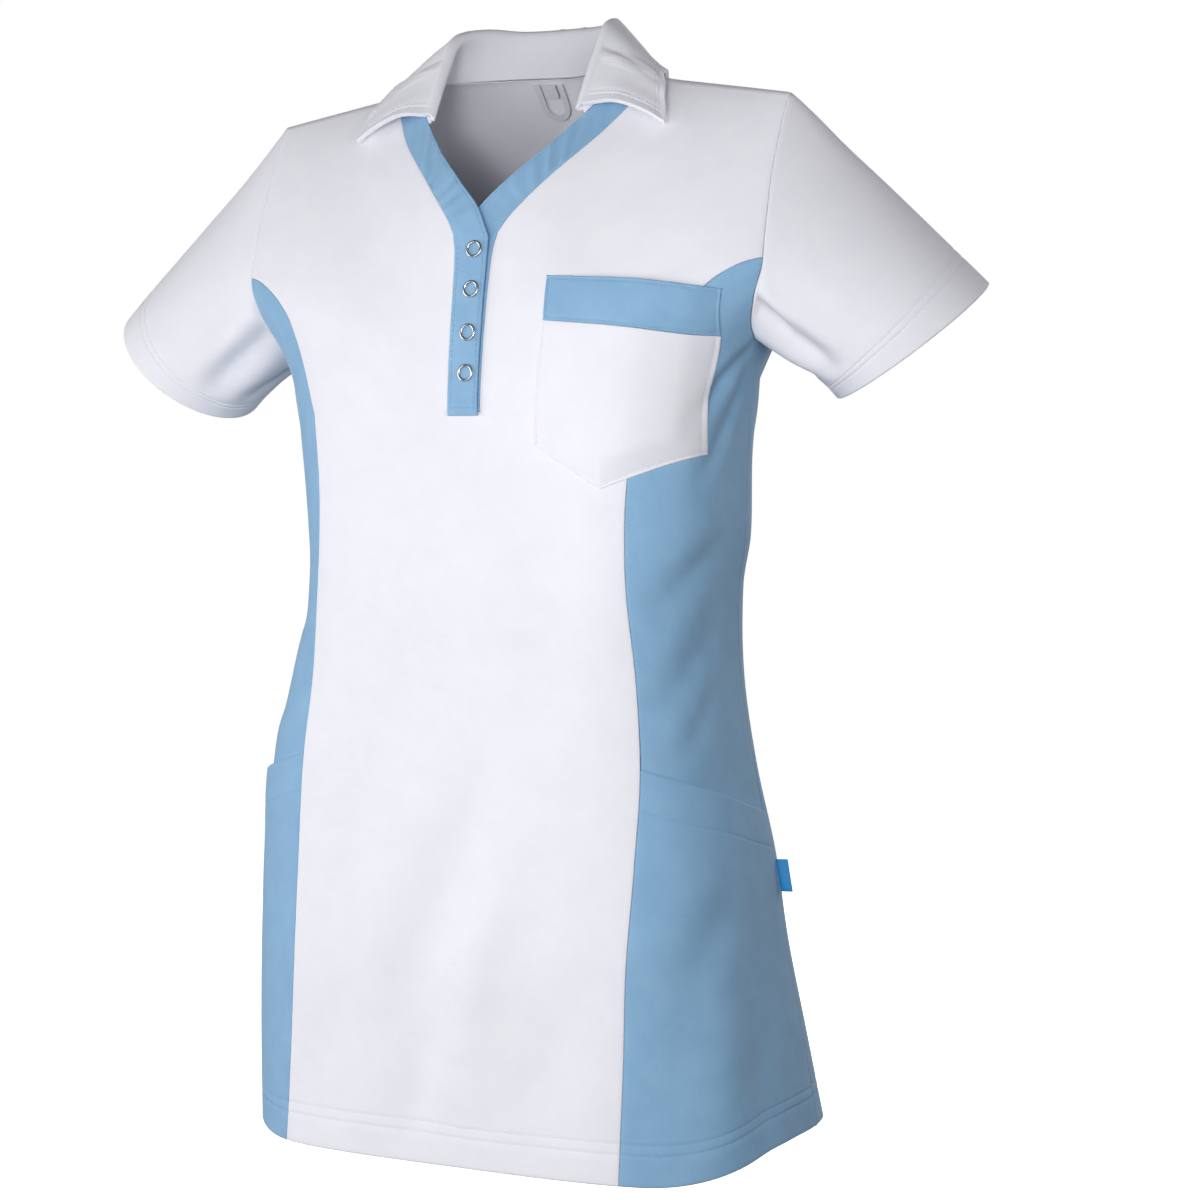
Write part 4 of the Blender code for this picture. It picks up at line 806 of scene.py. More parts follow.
for name, side in (("right", -1), ("left", 1)):
    low_down = ARMHOLE_JUNCTION + (1 - ARMHOLE_JUNCTION) * np.sin(np.linspace(0, math.pi / 2, 31))
    down = np.append(ARMHOLE_JUNCTION * even_parts(0, 1, 34), low_down[1:])
    ring = np.vstack([armhole_place(side, down), armhole_place(side, down[-2:0:-1], back=True)])
    seam, own = torso_surface(ring)
    seam, own = seam.copy(), own.copy()
    steps = np.linalg.norm(np.roll(seam, -1, axis=0) - seam, axis=1)
    turns = np.append(0, np.cumsum(steps)[:-1]) / steps.sum()
    cuff = CUFFS[name]
    slope, sweep = math.radians(cuff["slope"]), math.radians(cuff["sweep"])
    axis = np.array((side * math.cos(slope) * math.cos(sweep), math.cos(slope) * math.sin(sweep),
                     -math.sin(slope)))
    upward = unit(np.array((0, 0, 1)) - axis * axis[2])
    forward = np.cross(axis, upward)
    forward = forward * -np.sign(forward[1])
    circle = 2 * math.pi * turns[:, None]
    rim = (np.array(cuff["centre"]) + upward * cuff["high"] * np.cos(circle)
           + forward * cuff["deep"] * np.sin(circle))
    length = np.linalg.norm(rim - seam, axis=1, keepdims=True)
    chord = (rim - seam) / length
    leave = unit(chord + np.array((side, 0, 0)) * SLEEVE_CROWN * np.maximum(own[:, 2:], 0)) * length
    arrive = unit(axis * SLEEVE_FALL + chord) * length
    from_cuff = spaced(SLEEVE_DOWN, lines=CUFF_STITCHES)
    part = (1 - from_cuff[::-1] / SLEEVE_DOWN)[:, None, None]
    square, cube = part ** 2, part ** 3
    points = (seam * (2 * cube - 3 * square + 1) + leave * (cube - 2 * square + part)
              + rim * (3 * square - 2 * cube) + arrive * (cube - square))
    for _ in range(SMOOTHINGS):
        beside = (np.roll(points, -1, axis=1) + np.roll(points, 1, axis=1)) / 2
        points = points + (beside - points) * 0.5 * ease(part / SMOOTHING_RUN)
    around = np.roll(points, -1, axis=1) - np.roll(points, 1, axis=1)
    normals = unit(np.cross(around, np.gradient(points, axis=0))) * side
    lines_rise = grooves(from_cuff[::-1], CUFF_STITCHES)[:, None]
    points = points + normals * (sleeve_rise(name, turns[None], part[..., 0]) + lines_rise)[..., None]
    points[0] = seam + unit(own + normals[0]) * crease_rise(ring[:, 0], seam[:, 2])[:, None]
    underarm = len(turns) // 2
    around_columns = np.append(np.arange(underarm, len(turns)), np.arange(underarm + 1))
    grid = [array[:, around_columns] for array in (points, normals, np.ones(points.shape[:-1] + (1,)))]
    lines = row_lines(grid, from_cuff[::-1], CUFF_STITCHES, margin=0)
    grid = roll_edge(grid, "last row", turned=HEM_TURN, radius=HEM_ROLL)
    grid = roll_edge(grid, "first row", along=unit(own + normals[0])[around_columns])
    sleeve = sew("cloth_sleeve_" + name, [grid], WHITE)
    fit(sleeve, "sleeve_" + name)
    cuff_thread = stitch("stitches_cuff_" + name, lines, WHITE_THREAD)


# Neck bands and placket
# Two blue bands edge the V and run on down as the placket's strips, the wearer's right over left.
# Each is a strip of the knit folded along its free edge, sewn to the front and stitched at the fold.

NECKLINE_FREE = ((-0.085, 0.0000), (-0.066, 0.0190), (-0.046, 0.0400), (-0.024, 0.0600))
COLLAR_SEAM_FRONT = ((-0.024, 0.0600), (-0.012, 0.0685))
UPPER_STRIP_HALF, UNDER_STRIP_HALF, PLACKET_FOOT = 0.0115, 0.0100, -0.2225
STRIP_ROWS, OPEN_ROWS, COLLAR_ROWS = 44, 44, 12
PLACKET_LIFT, SEAM_LIFT, UNDER_SINK = 0.0028, 0.0011, -0.0012
EDGE_STITCH, FOLD_RADIUS = 0.0018, 0.0010
PUCKER_RISE, PUCKER_SPACING, PUCKER_SLANT, PUCKER_CHANGES = 0.0014, 0.0130, 3.4, 26


def collar_seam_front(side, parts):
    """From the band's free edge to the neck point, as distances to the left and heights."""
    points = COLLAR_SEAM_FRONT + ((float(shoulder_height(NECK_POINT_X)), NECK_POINT_X),)
    curve = curve_through(points, parts)
    return np.stack([side * curve[:, 1], curve[:, 0]], -1)


def band_places(side, free_top, free_knots):
    """Places of a band between its free edge, in the first column, and its seam."""
    seam = band_seam(side, even_parts(0, 1, STRIP_ROWS), even_parts(0, 1, OPEN_ROWS + COLLAR_ROWS))
    heights = np.linspace(SLIT_FOOT, free_top[0], STRIP_ROWS + 1)
    strip = np.stack([np.full(STRIP_ROWS + 1, free_top[1]), heights], -1)
    opening = curve_through((free_top,) + free_knots, even_parts(0, 1, OPEN_ROWS))[1:, ::-1]
    free = np.vstack([strip, opening, collar_seam_front(side, even_parts(0, 1, COLLAR_ROWS))[1:]])
    middle = STRIP_ROWS + OPEN_ROWS
    seam_parts = np.append(np.linspace(0, 0.5, OPEN_ROWS + 1), np.linspace(0.5, 1, COLLAR_ROWS + 1)[1:])
    seam[STRIP_ROWS + 1:] = band_seam(side, np.zeros(1), seam_parts)[1:]
    return free, seam, middle


band_over = np.array((0, 0.06, 0.10, 0.14, 0.18, 0.24, 0.32, 0.40, 0.48, 0.56, 0.64, 0.72, 0.80, 0.88,
                      0.94, 1.0))
random_row = np.random.default_rng(11)
for name, side, free_top, free_knots in (
        ("left", 1, (-0.100, -UNDER_STRIP_HALF), NECKLINE_FREE),
        ("right", -1, (-0.106, UPPER_STRIP_HALF), tuple((height, -x) for height, x in NECKLINE_FREE))):
    free, seam, middle = band_places(side, free_top, free_knots)
    if name == "right":
        free = np.vstack([(free[0, 0], PLACKET_FOOT), free])
        seam = np.vstack([(seam[0, 0], PLACKET_FOOT), seam])
    flat = free[:, None] + (seam - free)[:, None] * band_over[None, :, None]
    places = place(flat[..., 0], flat[..., 1])
    rows = np.arange(len(free))
    crossed = ease(1 - (rows - STRIP_ROWS * 1.02) / (OPEN_ROWS * 0.6))[:, None]
    across = ease((1 - band_over) / 0.3)[None]
    if name == "right":
        lift = (SEAM_LIFT + (PLACKET_LIFT - SEAM_LIFT) * across) * crossed
    else:
        lift = UNDER_SINK * across * crossed
    middle_line = (free + seam) / 2
    along = np.append(0, np.cumsum(np.linalg.norm(np.diff(middle_line, axis=0), axis=1)))
    marks = np.linspace(0, along[-1], PUCKER_CHANGES)
    drift = np.interp(along, marks, random_row.uniform(-1.6, 1.6, len(marks)))[:, None]
    strength = np.interp(along, marks, random_row.uniform(0.1, 1.0, len(marks)))[:, None]
    slant = 2 * math.pi * along[:, None] / PUCKER_SPACING + drift + band_over[None] * PUCKER_SLANT
    pucker = PUCKER_RISE * np.sin(slant) * np.sin(math.pi * band_over)[None] ** 0.7 * strength
    pucker *= 1 - 0.8 * crossed
    width = np.linalg.norm(seam - free, axis=1).mean()
    dip = grooves(band_over * width, (EDGE_STITCH,))[None] * (rows[:, None] < middle)
    cloth = lay_cloth(places, lift + pucker + dip)
    lines = [(cloth[0][1:middle, 2], cloth[1][1:middle, 2])]
    if name == "right":
        lines.append((cloth[0][1:STRIP_ROWS, -3], cloth[1][1:STRIP_ROWS, -3]))
        lines.append((cloth[0][2, 1:-1], cloth[1][2, 1:-1]))
    cloth = roll_edge(cloth, "first column", turned=width * 0.8, radius=FOLD_RADIUS)
    cloth = roll_edges(cloth, ("last column", "first row", "last row"), flap=BAND_FLAP)
    band = sew("cloth_band_" + name, [cloth], BLUE)
    fit(band, "band_" + name)
    band_thread = stitch("stitches_band_" + name, lines, BLUE_THREAD)


# Collar
# A one-piece turned-down collar: two layers of the white knit with a stiff layer between. The stand
# is sewn into the neck, rolls over and falls to an edge with two rows of stitches along it.

# Columns: part of the way from front to back, the roll's x, y and z, the outer edge's x, y and z.
# The first row mirrors the third past the centre back, so that the edge is level there.
COLLAR = np.array((
    (1.17, -0.0320, 0.0560, 0.0450, -0.0450, 0.0740, 0.0020),
    (1.00, 0.0000, 0.0660, 0.0460, 0.0000, 0.0790, 0.0040),
    (0.83, 0.0320, 0.0560, 0.0450, 0.0450, 0.0740, 0.0020),
    (0.67, 0.0500, 0.0320, 0.0445, 0.0790, 0.0500, 0.0000),
    (0.50, 0.0590, 0.0060, 0.0370, 0.0995, 0.0060, 0.0020),
    (0.33, 0.0595, -0.0090, 0.0170, 0.1100, -0.0120, -0.0090),
    (0.17, 0.0590, -0.0200, -0.0010, 0.1140, -0.0210, -0.0220),
    (0.00, 0.0585, -0.0300, -0.0190, 0.1150, -0.0300, -0.0340),
))
ROLL_RADIUS, STAND_LEAN, COLLAR_CLEARANCE = 0.0032, 0.0010, 0.0034
FALL_BULGE, FRONT_ARCH = 0.0020, 0.0062
NEAR_TIP_REACH = 0.0035
COLLAR_CLOTH, EDGE_BEAD, BEAD_REACH = 0.0020, 0.0013, 0.0026
COLLAR_STITCHES = (0.0050, 0.0080)
COLLAR_RIM, COLLAR_RIM_STEP, COLLAR_SAMPLES, ROLL_RUN = 0.012, 0.0012, 2400, 0.006
FRONT_LENGTH, BACK_STATIONS = 0.062, 26
STAND_ROWS, ROLL_ROWS, FALL_ROWS = 9, 15, 14


def keep_clear(points):
    """The points, moved off the shoulders where they are nearer than the collar may lie."""
    surface, normal = torso_surface(place(points[..., 0], points[..., 2], points[..., 1] > 0))
    distance = ((points - surface) * normal).sum(-1, keepdims=True)
    return points + normal * np.maximum(COLLAR_CLEARANCE - distance, 0)


def collar_sections(side, parts, seam_points):
    """Points up the stand, over the roll and down the fall, a row for each station."""
    table = table_columns(COLLAR, parts)
    roll, edge = table[:, 1:4] * (side, 1, 1), table[:, 4:7] * (side, 1, 1)
    if side > 0:
        edge = edge + np.array((NEAR_TIP_REACH, 0, -0.001)) * ease(1 - parts[:, None] / 0.25)
    out = unit((edge - roll) * (1, 1, 0))
    fall = edge - roll
    proud = FALL_BULGE + (FRONT_ARCH - FALL_BULGE) * ease(1 - parts[:, None] / 0.3)
    bulge = unit(out - unit(fall) * (out * unit(fall)).sum(-1, keepdims=True)) * proud
    under = np.array((0, 0, -ROLL_RADIUS))
    stand = [seam_points, (seam_points + roll) / 2 - out * STAND_LEAN,
             roll - out * ROLL_RADIUS + under, roll]
    folded = [roll + out * ROLL_RADIUS + under + bulge * 0.45, roll + fall * 0.36 + bulge,
              roll + fall * 0.7 + bulge * 0.8, edge]
    return np.stack(stand + [keep_clear(row) for row in folded], axis=1)


halves = []
for side in (-1, 1):
    front_steps = np.append(spaced(COLLAR_RIM, COLLAR_RIM_STEP, COLLAR_STITCHES)[:-1],
                            np.linspace(COLLAR_RIM, FRONT_LENGTH, 18))
    front_parts, behind_parts = front_steps / FRONT_LENGTH, even_parts(0, 1, BACK_STATIONS)
    seam_front = collar_seam_front(side, front_parts)
    seam_places = np.vstack([place(*seam_front.T), collar_seam_back(side, behind_parts)[1:]])
    station_parts = np.append(front_parts * 0.5, 0.5 + behind_parts[1:] * 0.5)
    halves.append(collar_sections(side, station_parts, torso_surface(seam_places)[0]))
sections = np.concatenate([halves[0], halves[1][-2::-1]])
columns = []
near_edge = COLLAR_RIM - spaced(COLLAR_RIM, COLLAR_RIM_STEP, COLLAR_STITCHES)[::-1]
for section in sections:
    fine = curve_through(section, np.linspace(0, 1, COLLAR_SAMPLES))
    lengths = np.append(0, np.cumsum(np.linalg.norm(np.diff(fine, axis=0), axis=1)))
    size = lengths[-1]
    crest = lengths[int(np.argmin(np.linalg.norm(fine - section[3], axis=1)))]
    turn = min(ROLL_RUN, crest * 0.6)
    down = np.concatenate([
        np.linspace(0, crest - turn, STAND_ROWS)[:-1],
        np.linspace(crest - turn, crest + turn, ROLL_ROWS),
        np.linspace(crest + turn, size - COLLAR_RIM, FALL_ROWS)[1:-1],
        size - COLLAR_RIM + near_edge])
    columns.append(curve_through(section, down / size))
points = np.stack(columns, axis=1)
normals = unit(np.cross(np.gradient(points, axis=0), np.gradient(points, axis=1)))
row_steps = np.linalg.norm(np.diff(points[::-1], axis=0), axis=-1).mean(1)
from_outer = np.append(0, np.cumsum(row_steps))[::-1, None]
down_fall = ease((np.arange(len(points)) - STAND_ROWS - ROLL_ROWS / 2) / 5)[:, None]
from_lead = np.minimum(*(np.append(0, np.cumsum(steps))[::way] for way, steps in (
    (1, np.linalg.norm(np.diff(points, axis=1), axis=-1)[-12:].mean(0)),
    (-1, np.linalg.norm(np.diff(points[:, ::-1], axis=1), axis=-1)[-12:].mean(0)))))[None]
dip = grooves(from_outer, COLLAR_STITCHES) * ease((from_lead - 0.004) / 0.002)
dip = dip + grooves(from_lead, COLLAR_STITCHES) * down_fall * ease((from_outer - 0.004) / 0.002)
past_roll = ease((np.arange(len(points)) - STAND_ROWS - ROLL_ROWS * 0.3) / 4)[:, None]
bead = EDGE_BEAD * np.maximum(np.exp(-(from_outer / BEAD_REACH) ** 2),
                              np.exp(-(from_lead / BEAD_REACH) ** 2) * past_roll)
points = points + normals * (bead / 2 - dip * 0.6)[..., None]
thick = COLLAR_CLOTH + bead
seen = points - normals * thick[..., None]
lines = [(seen[row, 6:-6], -normals[row, 6:-6])
         for row in (int(np.argmin(abs(from_outer[:, 0] - line))) for line in COLLAR_STITCHES)]
rows = slice(STAND_ROWS + ROLL_ROWS, -6)
for half in (slice(None, points.shape[1] // 2), slice(points.shape[1] // 2, None)):
    for line in COLLAR_STITCHES:
        column = half.indices(points.shape[1])[0] + int(np.argmin(abs(from_lead[0, half] - line)))
        lines.append((seen[rows, column], -normals[rows, column]))
collar = sew("cloth_collar", [[points, normals, None]], WHITE, thickness=thick.ravel(), rounded=0.0011)
fit(collar, "collar")
collar_thread = stitch("stitches_collar", lines, WHITE_THREAD)


# Breast pocket
# A white patch with a pointed foot, its edges turned under and stitched 2 mm in, and a blue band
# sewn across its top. It lies on the wearer's left breast and runs a little round to the side.

BREAST_POCKET = {
    "top inner": (0.0562, -0.1326), "top outer": (0.1721, -0.1436),
    "band low inner": (0.0574, -0.1618), "band low outer": (0.1663, -0.1732),
    "foot inner": (0.0541, -0.2417), "point": (0.1005, -0.2704), "foot outer": (0.1562, -0.2482),
}
POCKET_EDGE_LIFT, POCKET_MIDDLE_LIFT = 0.0012, 0.0028
POINT_PART = math.sin(math.pi / 2 * 0.3)
POCKET_STITCH, OUTER_EDGE_BOW, POCKET_RIDGE = 0.0022, 0.0032, 0.0062

POCKET_WIDTH, POCKET_LENGTH, POCKET_BAND_LENGTH = 0.112, 0.080, 0.030
POCKET_LIFT_RUN, PULL_RISE, PULL_SPACING = 0.018, 0.0005, 0.0115

corner = {name: np.array(here) for name, here in BREAST_POCKET.items()}
over = spaced(POCKET_WIDTH, lines=(POCKET_STITCH, POCKET_WIDTH - POCKET_STITCH)) / POCKET_WIDTH
over = np.sort(np.append(over, POINT_PART))[:, None]
top = corner["top inner"] + (corner["top outer"] - corner["top inner"]) * over
seam = corner["band low inner"] + (corner["band low outer"] - corner["band low inner"]) * over
to_point, from_point = over / POINT_PART, (over - POINT_PART) / (1 - POINT_PART)
foot = np.where(over <= POINT_PART,
                corner["foot inner"] + (corner["point"] - corner["foot inner"]) * to_point,
                corner["point"] + (corner["foot outer"] - corner["point"]) * from_point)


def pocket_cloth(low, high, length, lines, open_top):
    """Cloth between two edges of the pocket, lifted off the front except along its stitched edges."""
    rows = spaced(length, lines=lines)
    up = (rows / length)[:, None, None]
    flat = low[None] * (1 - up) + high[None] * up
    if not open_top:
        flat[..., 0] -= OUTER_EDGE_BOW * np.sin(math.pi * up[..., 0]) * over[:, 0][None] ** 2
    from_side = np.minimum(over[:, 0], 1 - over[:, 0])[None] * POCKET_WIDTH
    from_foot = np.full(len(rows), POCKET_WIDTH) if open_top else rows
    inside = ease(np.minimum(from_side, from_foot[:, None]) / POCKET_LIFT_RUN)
    lift = POCKET_EDGE_LIFT + (POCKET_MIDDLE_LIFT - POCKET_EDGE_LIFT) * inside
    dip = grooves(from_side, (POCKET_STITCH,)) + grooves(rows, lines)[:, None]
    if open_top:
        slant = over[:, 0][None] * POCKET_WIDTH * 0.8 + rows[:, None] * 0.9
        pull = np.sin(2 * math.pi * slant / PULL_SPACING)
        lift = lift + PULL_RISE * pull * ease((over[:, 0][None] - 0.58) / 0.2) * inside
    soft = POCKET_RIDGE * np.maximum(1 - np.hypot((over[:, 0][None] - 0.6) / 0.45, 0.13), 0) * inside
    return lay_cloth(place(flat[..., 0], flat[..., 1]), lift + dip + soft, creased=0.35), rows


side_columns = [int(np.argmin(abs(over[:, 0] * POCKET_WIDTH - at)))
                for at in (POCKET_STITCH, POCKET_WIDTH - POCKET_STITCH)]
all_edges = ("first row", "last row", "first column", "last column")
body, body_rows = pocket_cloth(foot, seam, POCKET_LENGTH, (POCKET_STITCH,), open_top=False)
body_lines = [(body[0][1:-1, column], body[1][1:-1, column]) for column in side_columns]
body_lines += row_lines(body, body_rows, (POCKET_STITCH,), margin=2)
body = roll_edges(body, all_edges, flap=PATCH_FLAP)
breast_pocket = sew("cloth_breast_pocket", [body], WHITE)
fit(breast_pocket, "breast_pocket")
pocket_thread = stitch("stitches_breast_pocket", body_lines, WHITE_THREAD)

band_stitches = (POCKET_STITCH, POCKET_BAND_LENGTH - POCKET_STITCH)
band, band_rows = pocket_cloth(seam, top, POCKET_BAND_LENGTH, band_stitches, open_top=True)
band_lines = [(band[0][1:-1, column], band[1][1:-1, column]) for column in side_columns]
band_lines += row_lines(band, band_rows, band_stitches, margin=2)
band = roll_edges(band, all_edges, flap=PATCH_FLAP)
pocket_band = sew("cloth_breast_pocket_band", [band], BLUE)
fit(pocket_band, "breast_pocket_band")
band_thread = stitch("stitches_breast_pocket_band", band_lines, BLUE_THREAD)


# Snaps
# Open ring snaps of nickel-plated brass, pressed through the placket. The ring's edge is rounded and
# the cloth shows in its middle. They stay fastened.

SNAP_X = 0.0025
SNAP_HEIGHTS = (-0.1145, -0.1406, -0.1687, -0.1950)
SNAP_RADIUS, SNAP_WIRE = 0.0058, 0.0009
SNAP_LIFT = 0.0036

# Nickel plate is bright and a little warm, with fine rubbing that blurs what it mirrors
nickel, nickel_shader = new_material("Nickel-plated brass", Metallic=1.0)
nickel_shader.inputs["Base Color"].default_value = linear("#CFCDC9")
rub = add_node(nickel, "ShaderNodeTexNoise", {"Scale": 1800.0, "Detail": 3.0},
               {"Vector": add_node(nickel, "ShaderNodeTexCoord").outputs["Object"]})
rubbed = add_node(nickel, "ShaderNodeMapRange", {"To Min": 0.20, "To Max": 0.28},
                  {"Value": rub.outputs["Fac"]})
nickel.node_tree.links.new(rubbed.outputs["Result"], nickel_shader.inputs["Roughness"])

for number, height in enumerate(SNAP_HEIGHTS, 1):
    point, normal = torso_surface(place(np.array(SNAP_X), np.array(height)))
    mesh = bmesh.new()
    bmesh.ops.create_circle(mesh, segments=14, radius=SNAP_WIRE, matrix=(
        Matrix.Translation((SNAP_RADIUS - SNAP_WIRE, 0, 0)) @ Matrix.Rotation(math.pi / 2, 4, "X")
        @ Matrix.Diagonal((1.0, 0.85, 1, 1))))
    bmesh.ops.spin(mesh, geom=mesh.verts[:] + mesh.edges[:], axis=(0, 0, 1), cent=(0, 0, 0),
                   angle=2 * math.pi, steps=48, use_merge=True)
    bmesh.ops.remove_doubles(mesh, verts=mesh.verts, dist=1e-6)
    bmesh.ops.recalc_face_normals(mesh, faces=mesh.faces)
    turn = Vector(normal).to_track_quat("Z", "Y").to_matrix().to_4x4()
    mesh.transform(Matrix.Translation(point + normal * SNAP_LIFT) @ turn)
    ring = finish_mesh("ring_snap_%d" % number, mesh, [nickel])
    fit(ring, "snap_%d" % number)


# Side label
# A small ribbon folded in two and caught in the left side seam. It is woven in blue and left bare.

LABEL_HEIGHT, LABEL_REACH, LABEL_TALL, LABEL_THICK, LABEL_GAP = -0.527, 0.0080, 0.0215, 0.0012, 0.0016
LABEL_TILT, LABEL_WAVE, LABEL_SEWN_IN = 0.17, 0.0005, 0.0012

# Woven polyester satin: fine cross ribs and a soft shine
ribbon, ribbon_shader = new_material("Woven polyester ribbon", Roughness=0.42, Sheen_Weight=0.2)
ribbon_place = add_node(ribbon, "ShaderNodeTexCoord").outputs["Object"]
# Threads are 0.25 mm apart; the ribs are 0.8 mm, to show
ribs = add_node(ribbon, "ShaderNodeTexWave", {"bands_direction": "Z", "Scale": 390.0},
                {"Vector": ribbon_place})
ribbon_colour = add_node(ribbon, "ShaderNodeMix",
                         {"data_type": "RGBA", 6: linear("#0A93D6"), 7: linear("#12A0E2")},
                         {0: ribs.outputs["Fac"]})
ribbon_relief = add_node(ribbon, "ShaderNodeBump", {"Strength": 0.3, "Distance": 0.0003},
                         {"Height": ribs.outputs["Fac"]})
ribbon.node_tree.links.new(ribbon_colour.outputs[2], ribbon_shader.inputs["Base Color"])
ribbon.node_tree.links.new(ribbon_relief.outputs["Normal"], ribbon_shader.inputs["Normal"])

label_angle = table_columns(SIDE_SEAM, np.array(LABEL_HEIGHT))[1]
point, normal = torso_surface(side_place(1, label_angle, np.array(LABEL_HEIGHT)))
normal = unit(normal * (1, 1, 0))
mesh = bmesh.new()
bmesh.ops.create_cube(mesh, size=1.0, matrix=Matrix.Diagonal((LABEL_REACH, LABEL_THICK, LABEL_TALL, 1)))
bmesh.ops.subdivide_edges(mesh, edges=mesh.edges, cuts=7, use_grid_fill=True)
for vert in mesh.verts:
    outer = max(vert.co.x / LABEL_REACH + 0.5, 0)
    pinch = 0.35 + 0.65 * outer ** 0.5
    vert.co.y = vert.co.y * pinch + LABEL_WAVE * math.sin(vert.co.z * 150) * outer
    vert.co.x -= vert.co.z * LABEL_TILT
rim = [edge for edge in mesh.edges if edge.calc_face_angle() > 1.0]
bmesh.ops.bevel(mesh, geom=rim, offset=0.0003, segments=2, profile=0.5, affect="EDGES", material=-1)
turn = Matrix((normal, np.cross((0, 0, 1), normal), (0, 0, 1))).transposed().to_4x4()
mesh.transform(Matrix.Translation(point + normal * (LABEL_GAP + LABEL_REACH / 2 - LABEL_SEWN_IN)) @ turn)
side_label = finish_mesh("ribbon_side_label", mesh, [ribbon])
fit(side_label, "side_label")


# Hanger loop and size label
# A loop of narrow white tape hangs inside the back neck, with a small bare label sewn in above it.

LOOP_X, LOOP_RADIUS, LOOP_TOP, LOOP_FOOT, LOOP_WIDTH = -0.0160, 0.0078, 0.0115, -0.0100, 0.0040
LABEL_WIDE, LABEL_HIGH, TAPE, TAPE_INSIDE = 0.0090, 0.0085, 0.0007, 0.0030

# Plain woven tape: small crossing threads, drawn 1 mm apart where real ones are 0.3 mm
tape, tape_shader = new_material("Woven cotton tape", Roughness=0.75, Sheen_Weight=0.1)
tape_chart = add_node(tape, "ShaderNodeUVMap", {"uv_map": "cloth"}).outputs["UV"]
tape_weave = add_node(tape, "ShaderNodeTexChecker", {"Scale": 1000.0, "Color1": linear("#E9E8EC"),
                      "Color2": linear("#E0DFE4")}, {"Vector": tape_chart})
tape_relief = add_node(tape, "ShaderNodeBump", {"Strength": 0.3, "Distance": 0.0003},
                       {"Height": tape_weave.outputs["Fac"]})
tape.node_tree.links.new(tape_weave.outputs["Color"], tape_shader.inputs["Base Color"])
tape.node_tree.links.new(tape_relief.outputs["Normal"], tape_shader.inputs["Normal"])

bend = np.linspace(0, math.pi, 25)
path = np.vstack([
    np.stack([np.full(9, LOOP_X - LOOP_RADIUS), np.linspace(LOOP_TOP, LOOP_FOOT + LOOP_RADIUS, 9)], -1),
    np.stack([LOOP_X - LOOP_RADIUS * np.cos(bend), LOOP_FOOT + LOOP_RADIUS * (1 - np.sin(bend))], -1)[1:-1],
    np.stack([np.full(9, LOOP_X + LOOP_RADIUS), np.linspace(LOOP_FOOT + LOOP_RADIUS, LOOP_TOP, 9)], -1)])
ahead = unit(np.gradient(path, axis=0))
aside = np.stack([-ahead[:, 1], ahead[:, 0]], -1) * LOOP_WIDTH / 2
flat = path[:, None] + aside[:, None] * np.array((-1, -0.5, 0, 0.5, 1))[None, :, None]
points, normals = torso_surface(place(flat[..., 0], flat[..., 1], True))
loop = sew("tape_hanger_loop", [[points - normals * TAPE_INSIDE, normals, None]], tape, TAPE, rounded=0.0002)
fit(loop, "hanger_loop")
x = LOOP_X + LABEL_WIDE * np.linspace(-0.5, 0.5, 7)[None, :] + np.zeros((7, 1))
height = LOOP_TOP - LABEL_HIGH * np.linspace(1, 0, 7)[:, None] + np.zeros((1, 7))
points, normals = torso_surface(place(x, height, True))
label = sew("tape_size_label", [[points - normals * (TAPE_INSIDE + 0.0008), normals, None]], tape, TAPE,
            rounded=0.0002)
fit(label, "size_label")


# Studio
# A plain pale floor well below the hem, soft lamps in front, on the wearer's right and behind, and
# the photo's viewpoint: 28 degrees round to the wearer's left and 2.5 degrees down.

CAMERA_PLACE = (0.9256, -1.6359, -0.2633)
CAMERA_TURN, CAMERA_DIP, CAMERA_LENS = 28.0, 2.5, 83.25
FLOOR_HEIGHT = -0.95

camera_data = bpy.data.cameras.new("camera")
camera_data.lens = CAMERA_LENS
camera = bpy.data.objects.new("camera", camera_data)
bpy.context.scene.collection.objects.link(camera)
camera.location = CAMERA_PLACE
camera.rotation_euler = (math.radians(90 - CAMERA_DIP), 0, math.radians(CAMERA_TURN))
bpy.context.scene.camera = camera

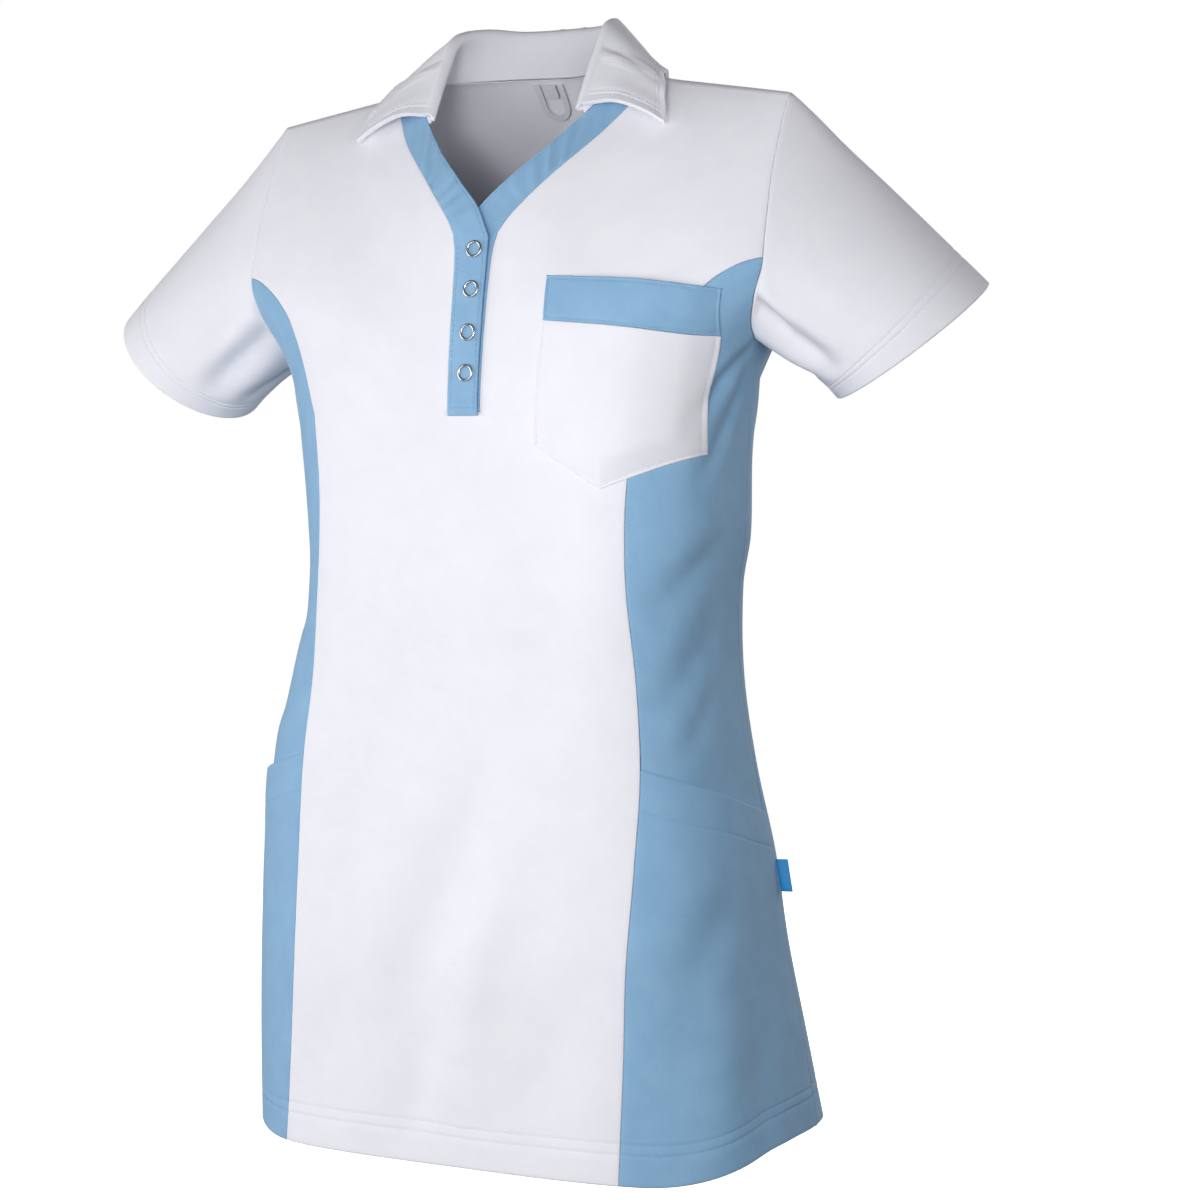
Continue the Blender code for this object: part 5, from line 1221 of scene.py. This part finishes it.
floor_mesh = bmesh.new()
bmesh.ops.create_grid(floor_mesh, x_segments=1, y_segments=1, size=12.0,
                      matrix=Matrix.Translation((0, 0, FLOOR_HEIGHT)))
paper, paper_shader = new_material("White studio paper", Roughness=0.9, Emission_Color=(1, 1, 1, 1),
                                   Emission_Strength=0.92)
grain = add_node(paper, "ShaderNodeTexNoise", {"Scale": 40.0, "Detail": 3.0},
                 {"Vector": add_node(paper, "ShaderNodeTexCoord").outputs["Object"]})
paper_colour = add_node(paper, "ShaderNodeMix",
                        {"data_type": "RGBA", 6: linear("#F6F6F7"), 7: linear("#F8F8F9")},
                        {0: grain.outputs["Fac"]})
paper.node_tree.links.new(paper_colour.outputs[2], paper_shader.inputs["Base Color"])
floor = finish_mesh("studio_floor", floor_mesh, [paper])
floor.visible_diffuse = False
floor.visible_glossy = False

world = bpy.data.worlds.new("studio")
world.use_nodes = True
bpy.context.scene.world = world
room = world.node_tree.nodes["Background"]
room.inputs["Color"].default_value = (0.93, 0.94, 1.0, 1.0)
room.inputs["Strength"].default_value = 0.11
backdrop = world.node_tree.nodes.new("ShaderNodeBackground")
backdrop.inputs["Color"].default_value = (1.0, 1.0, 1.0, 1.0)
seen_or_lit = world.node_tree.nodes.new("ShaderNodeMixShader")
light_path = world.node_tree.nodes.new("ShaderNodeLightPath")
world.node_tree.links.new(light_path.outputs["Is Camera Ray"], seen_or_lit.inputs[0])
world.node_tree.links.new(room.outputs[0], seen_or_lit.inputs[1])
world.node_tree.links.new(backdrop.outputs[0], seen_or_lit.inputs[2])
world.node_tree.links.new(seen_or_lit.outputs[0], world.node_tree.nodes["World Output"].inputs["Surface"])

for name, spot, aim, size, power in (
        ("window side", (-2.60, -1.50, -0.33), (0, 0, -0.33), 1.8, 23.5),
        ("right arm", (-1.54, -0.72, -0.33), (-0.1, 0, -0.35), 1.0, 7.0),
        ("front", (-0.26, -1.46, -0.44), (-0.05, 0, -0.46), 0.8, 6.0),
        ("left side", (0.98, -0.88, -0.16), (0.12, 0, -0.26), 0.6, 4.1),
        ("behind", (1.41, 2.44, 0.70), (0, 0, -0.33), 1.8, 26.0),
        ("behind right", (-0.60, 2.60, 0.40), (0, 0, -0.33), 1.8, 24.0),
        ("inside the neck", (0.31, -1.15, -0.16), (0, 0.06, 0), 0.3, 4.8)):
    light_data = bpy.data.lights.new(name, "AREA")
    light_data.size = size
    light_data.energy = power
    light_data.color = (0.965, 0.970, 1.0)
    light = bpy.data.objects.new(name, light_data)
    bpy.context.scene.collection.objects.link(light)
    light.location = spot
    light.rotation_euler = (Vector(aim) - Vector(spot)).to_track_quat("-Z", "Y").to_euler()
    light.visible_camera = False

bpy.context.scene.view_settings.view_transform = "Standard"
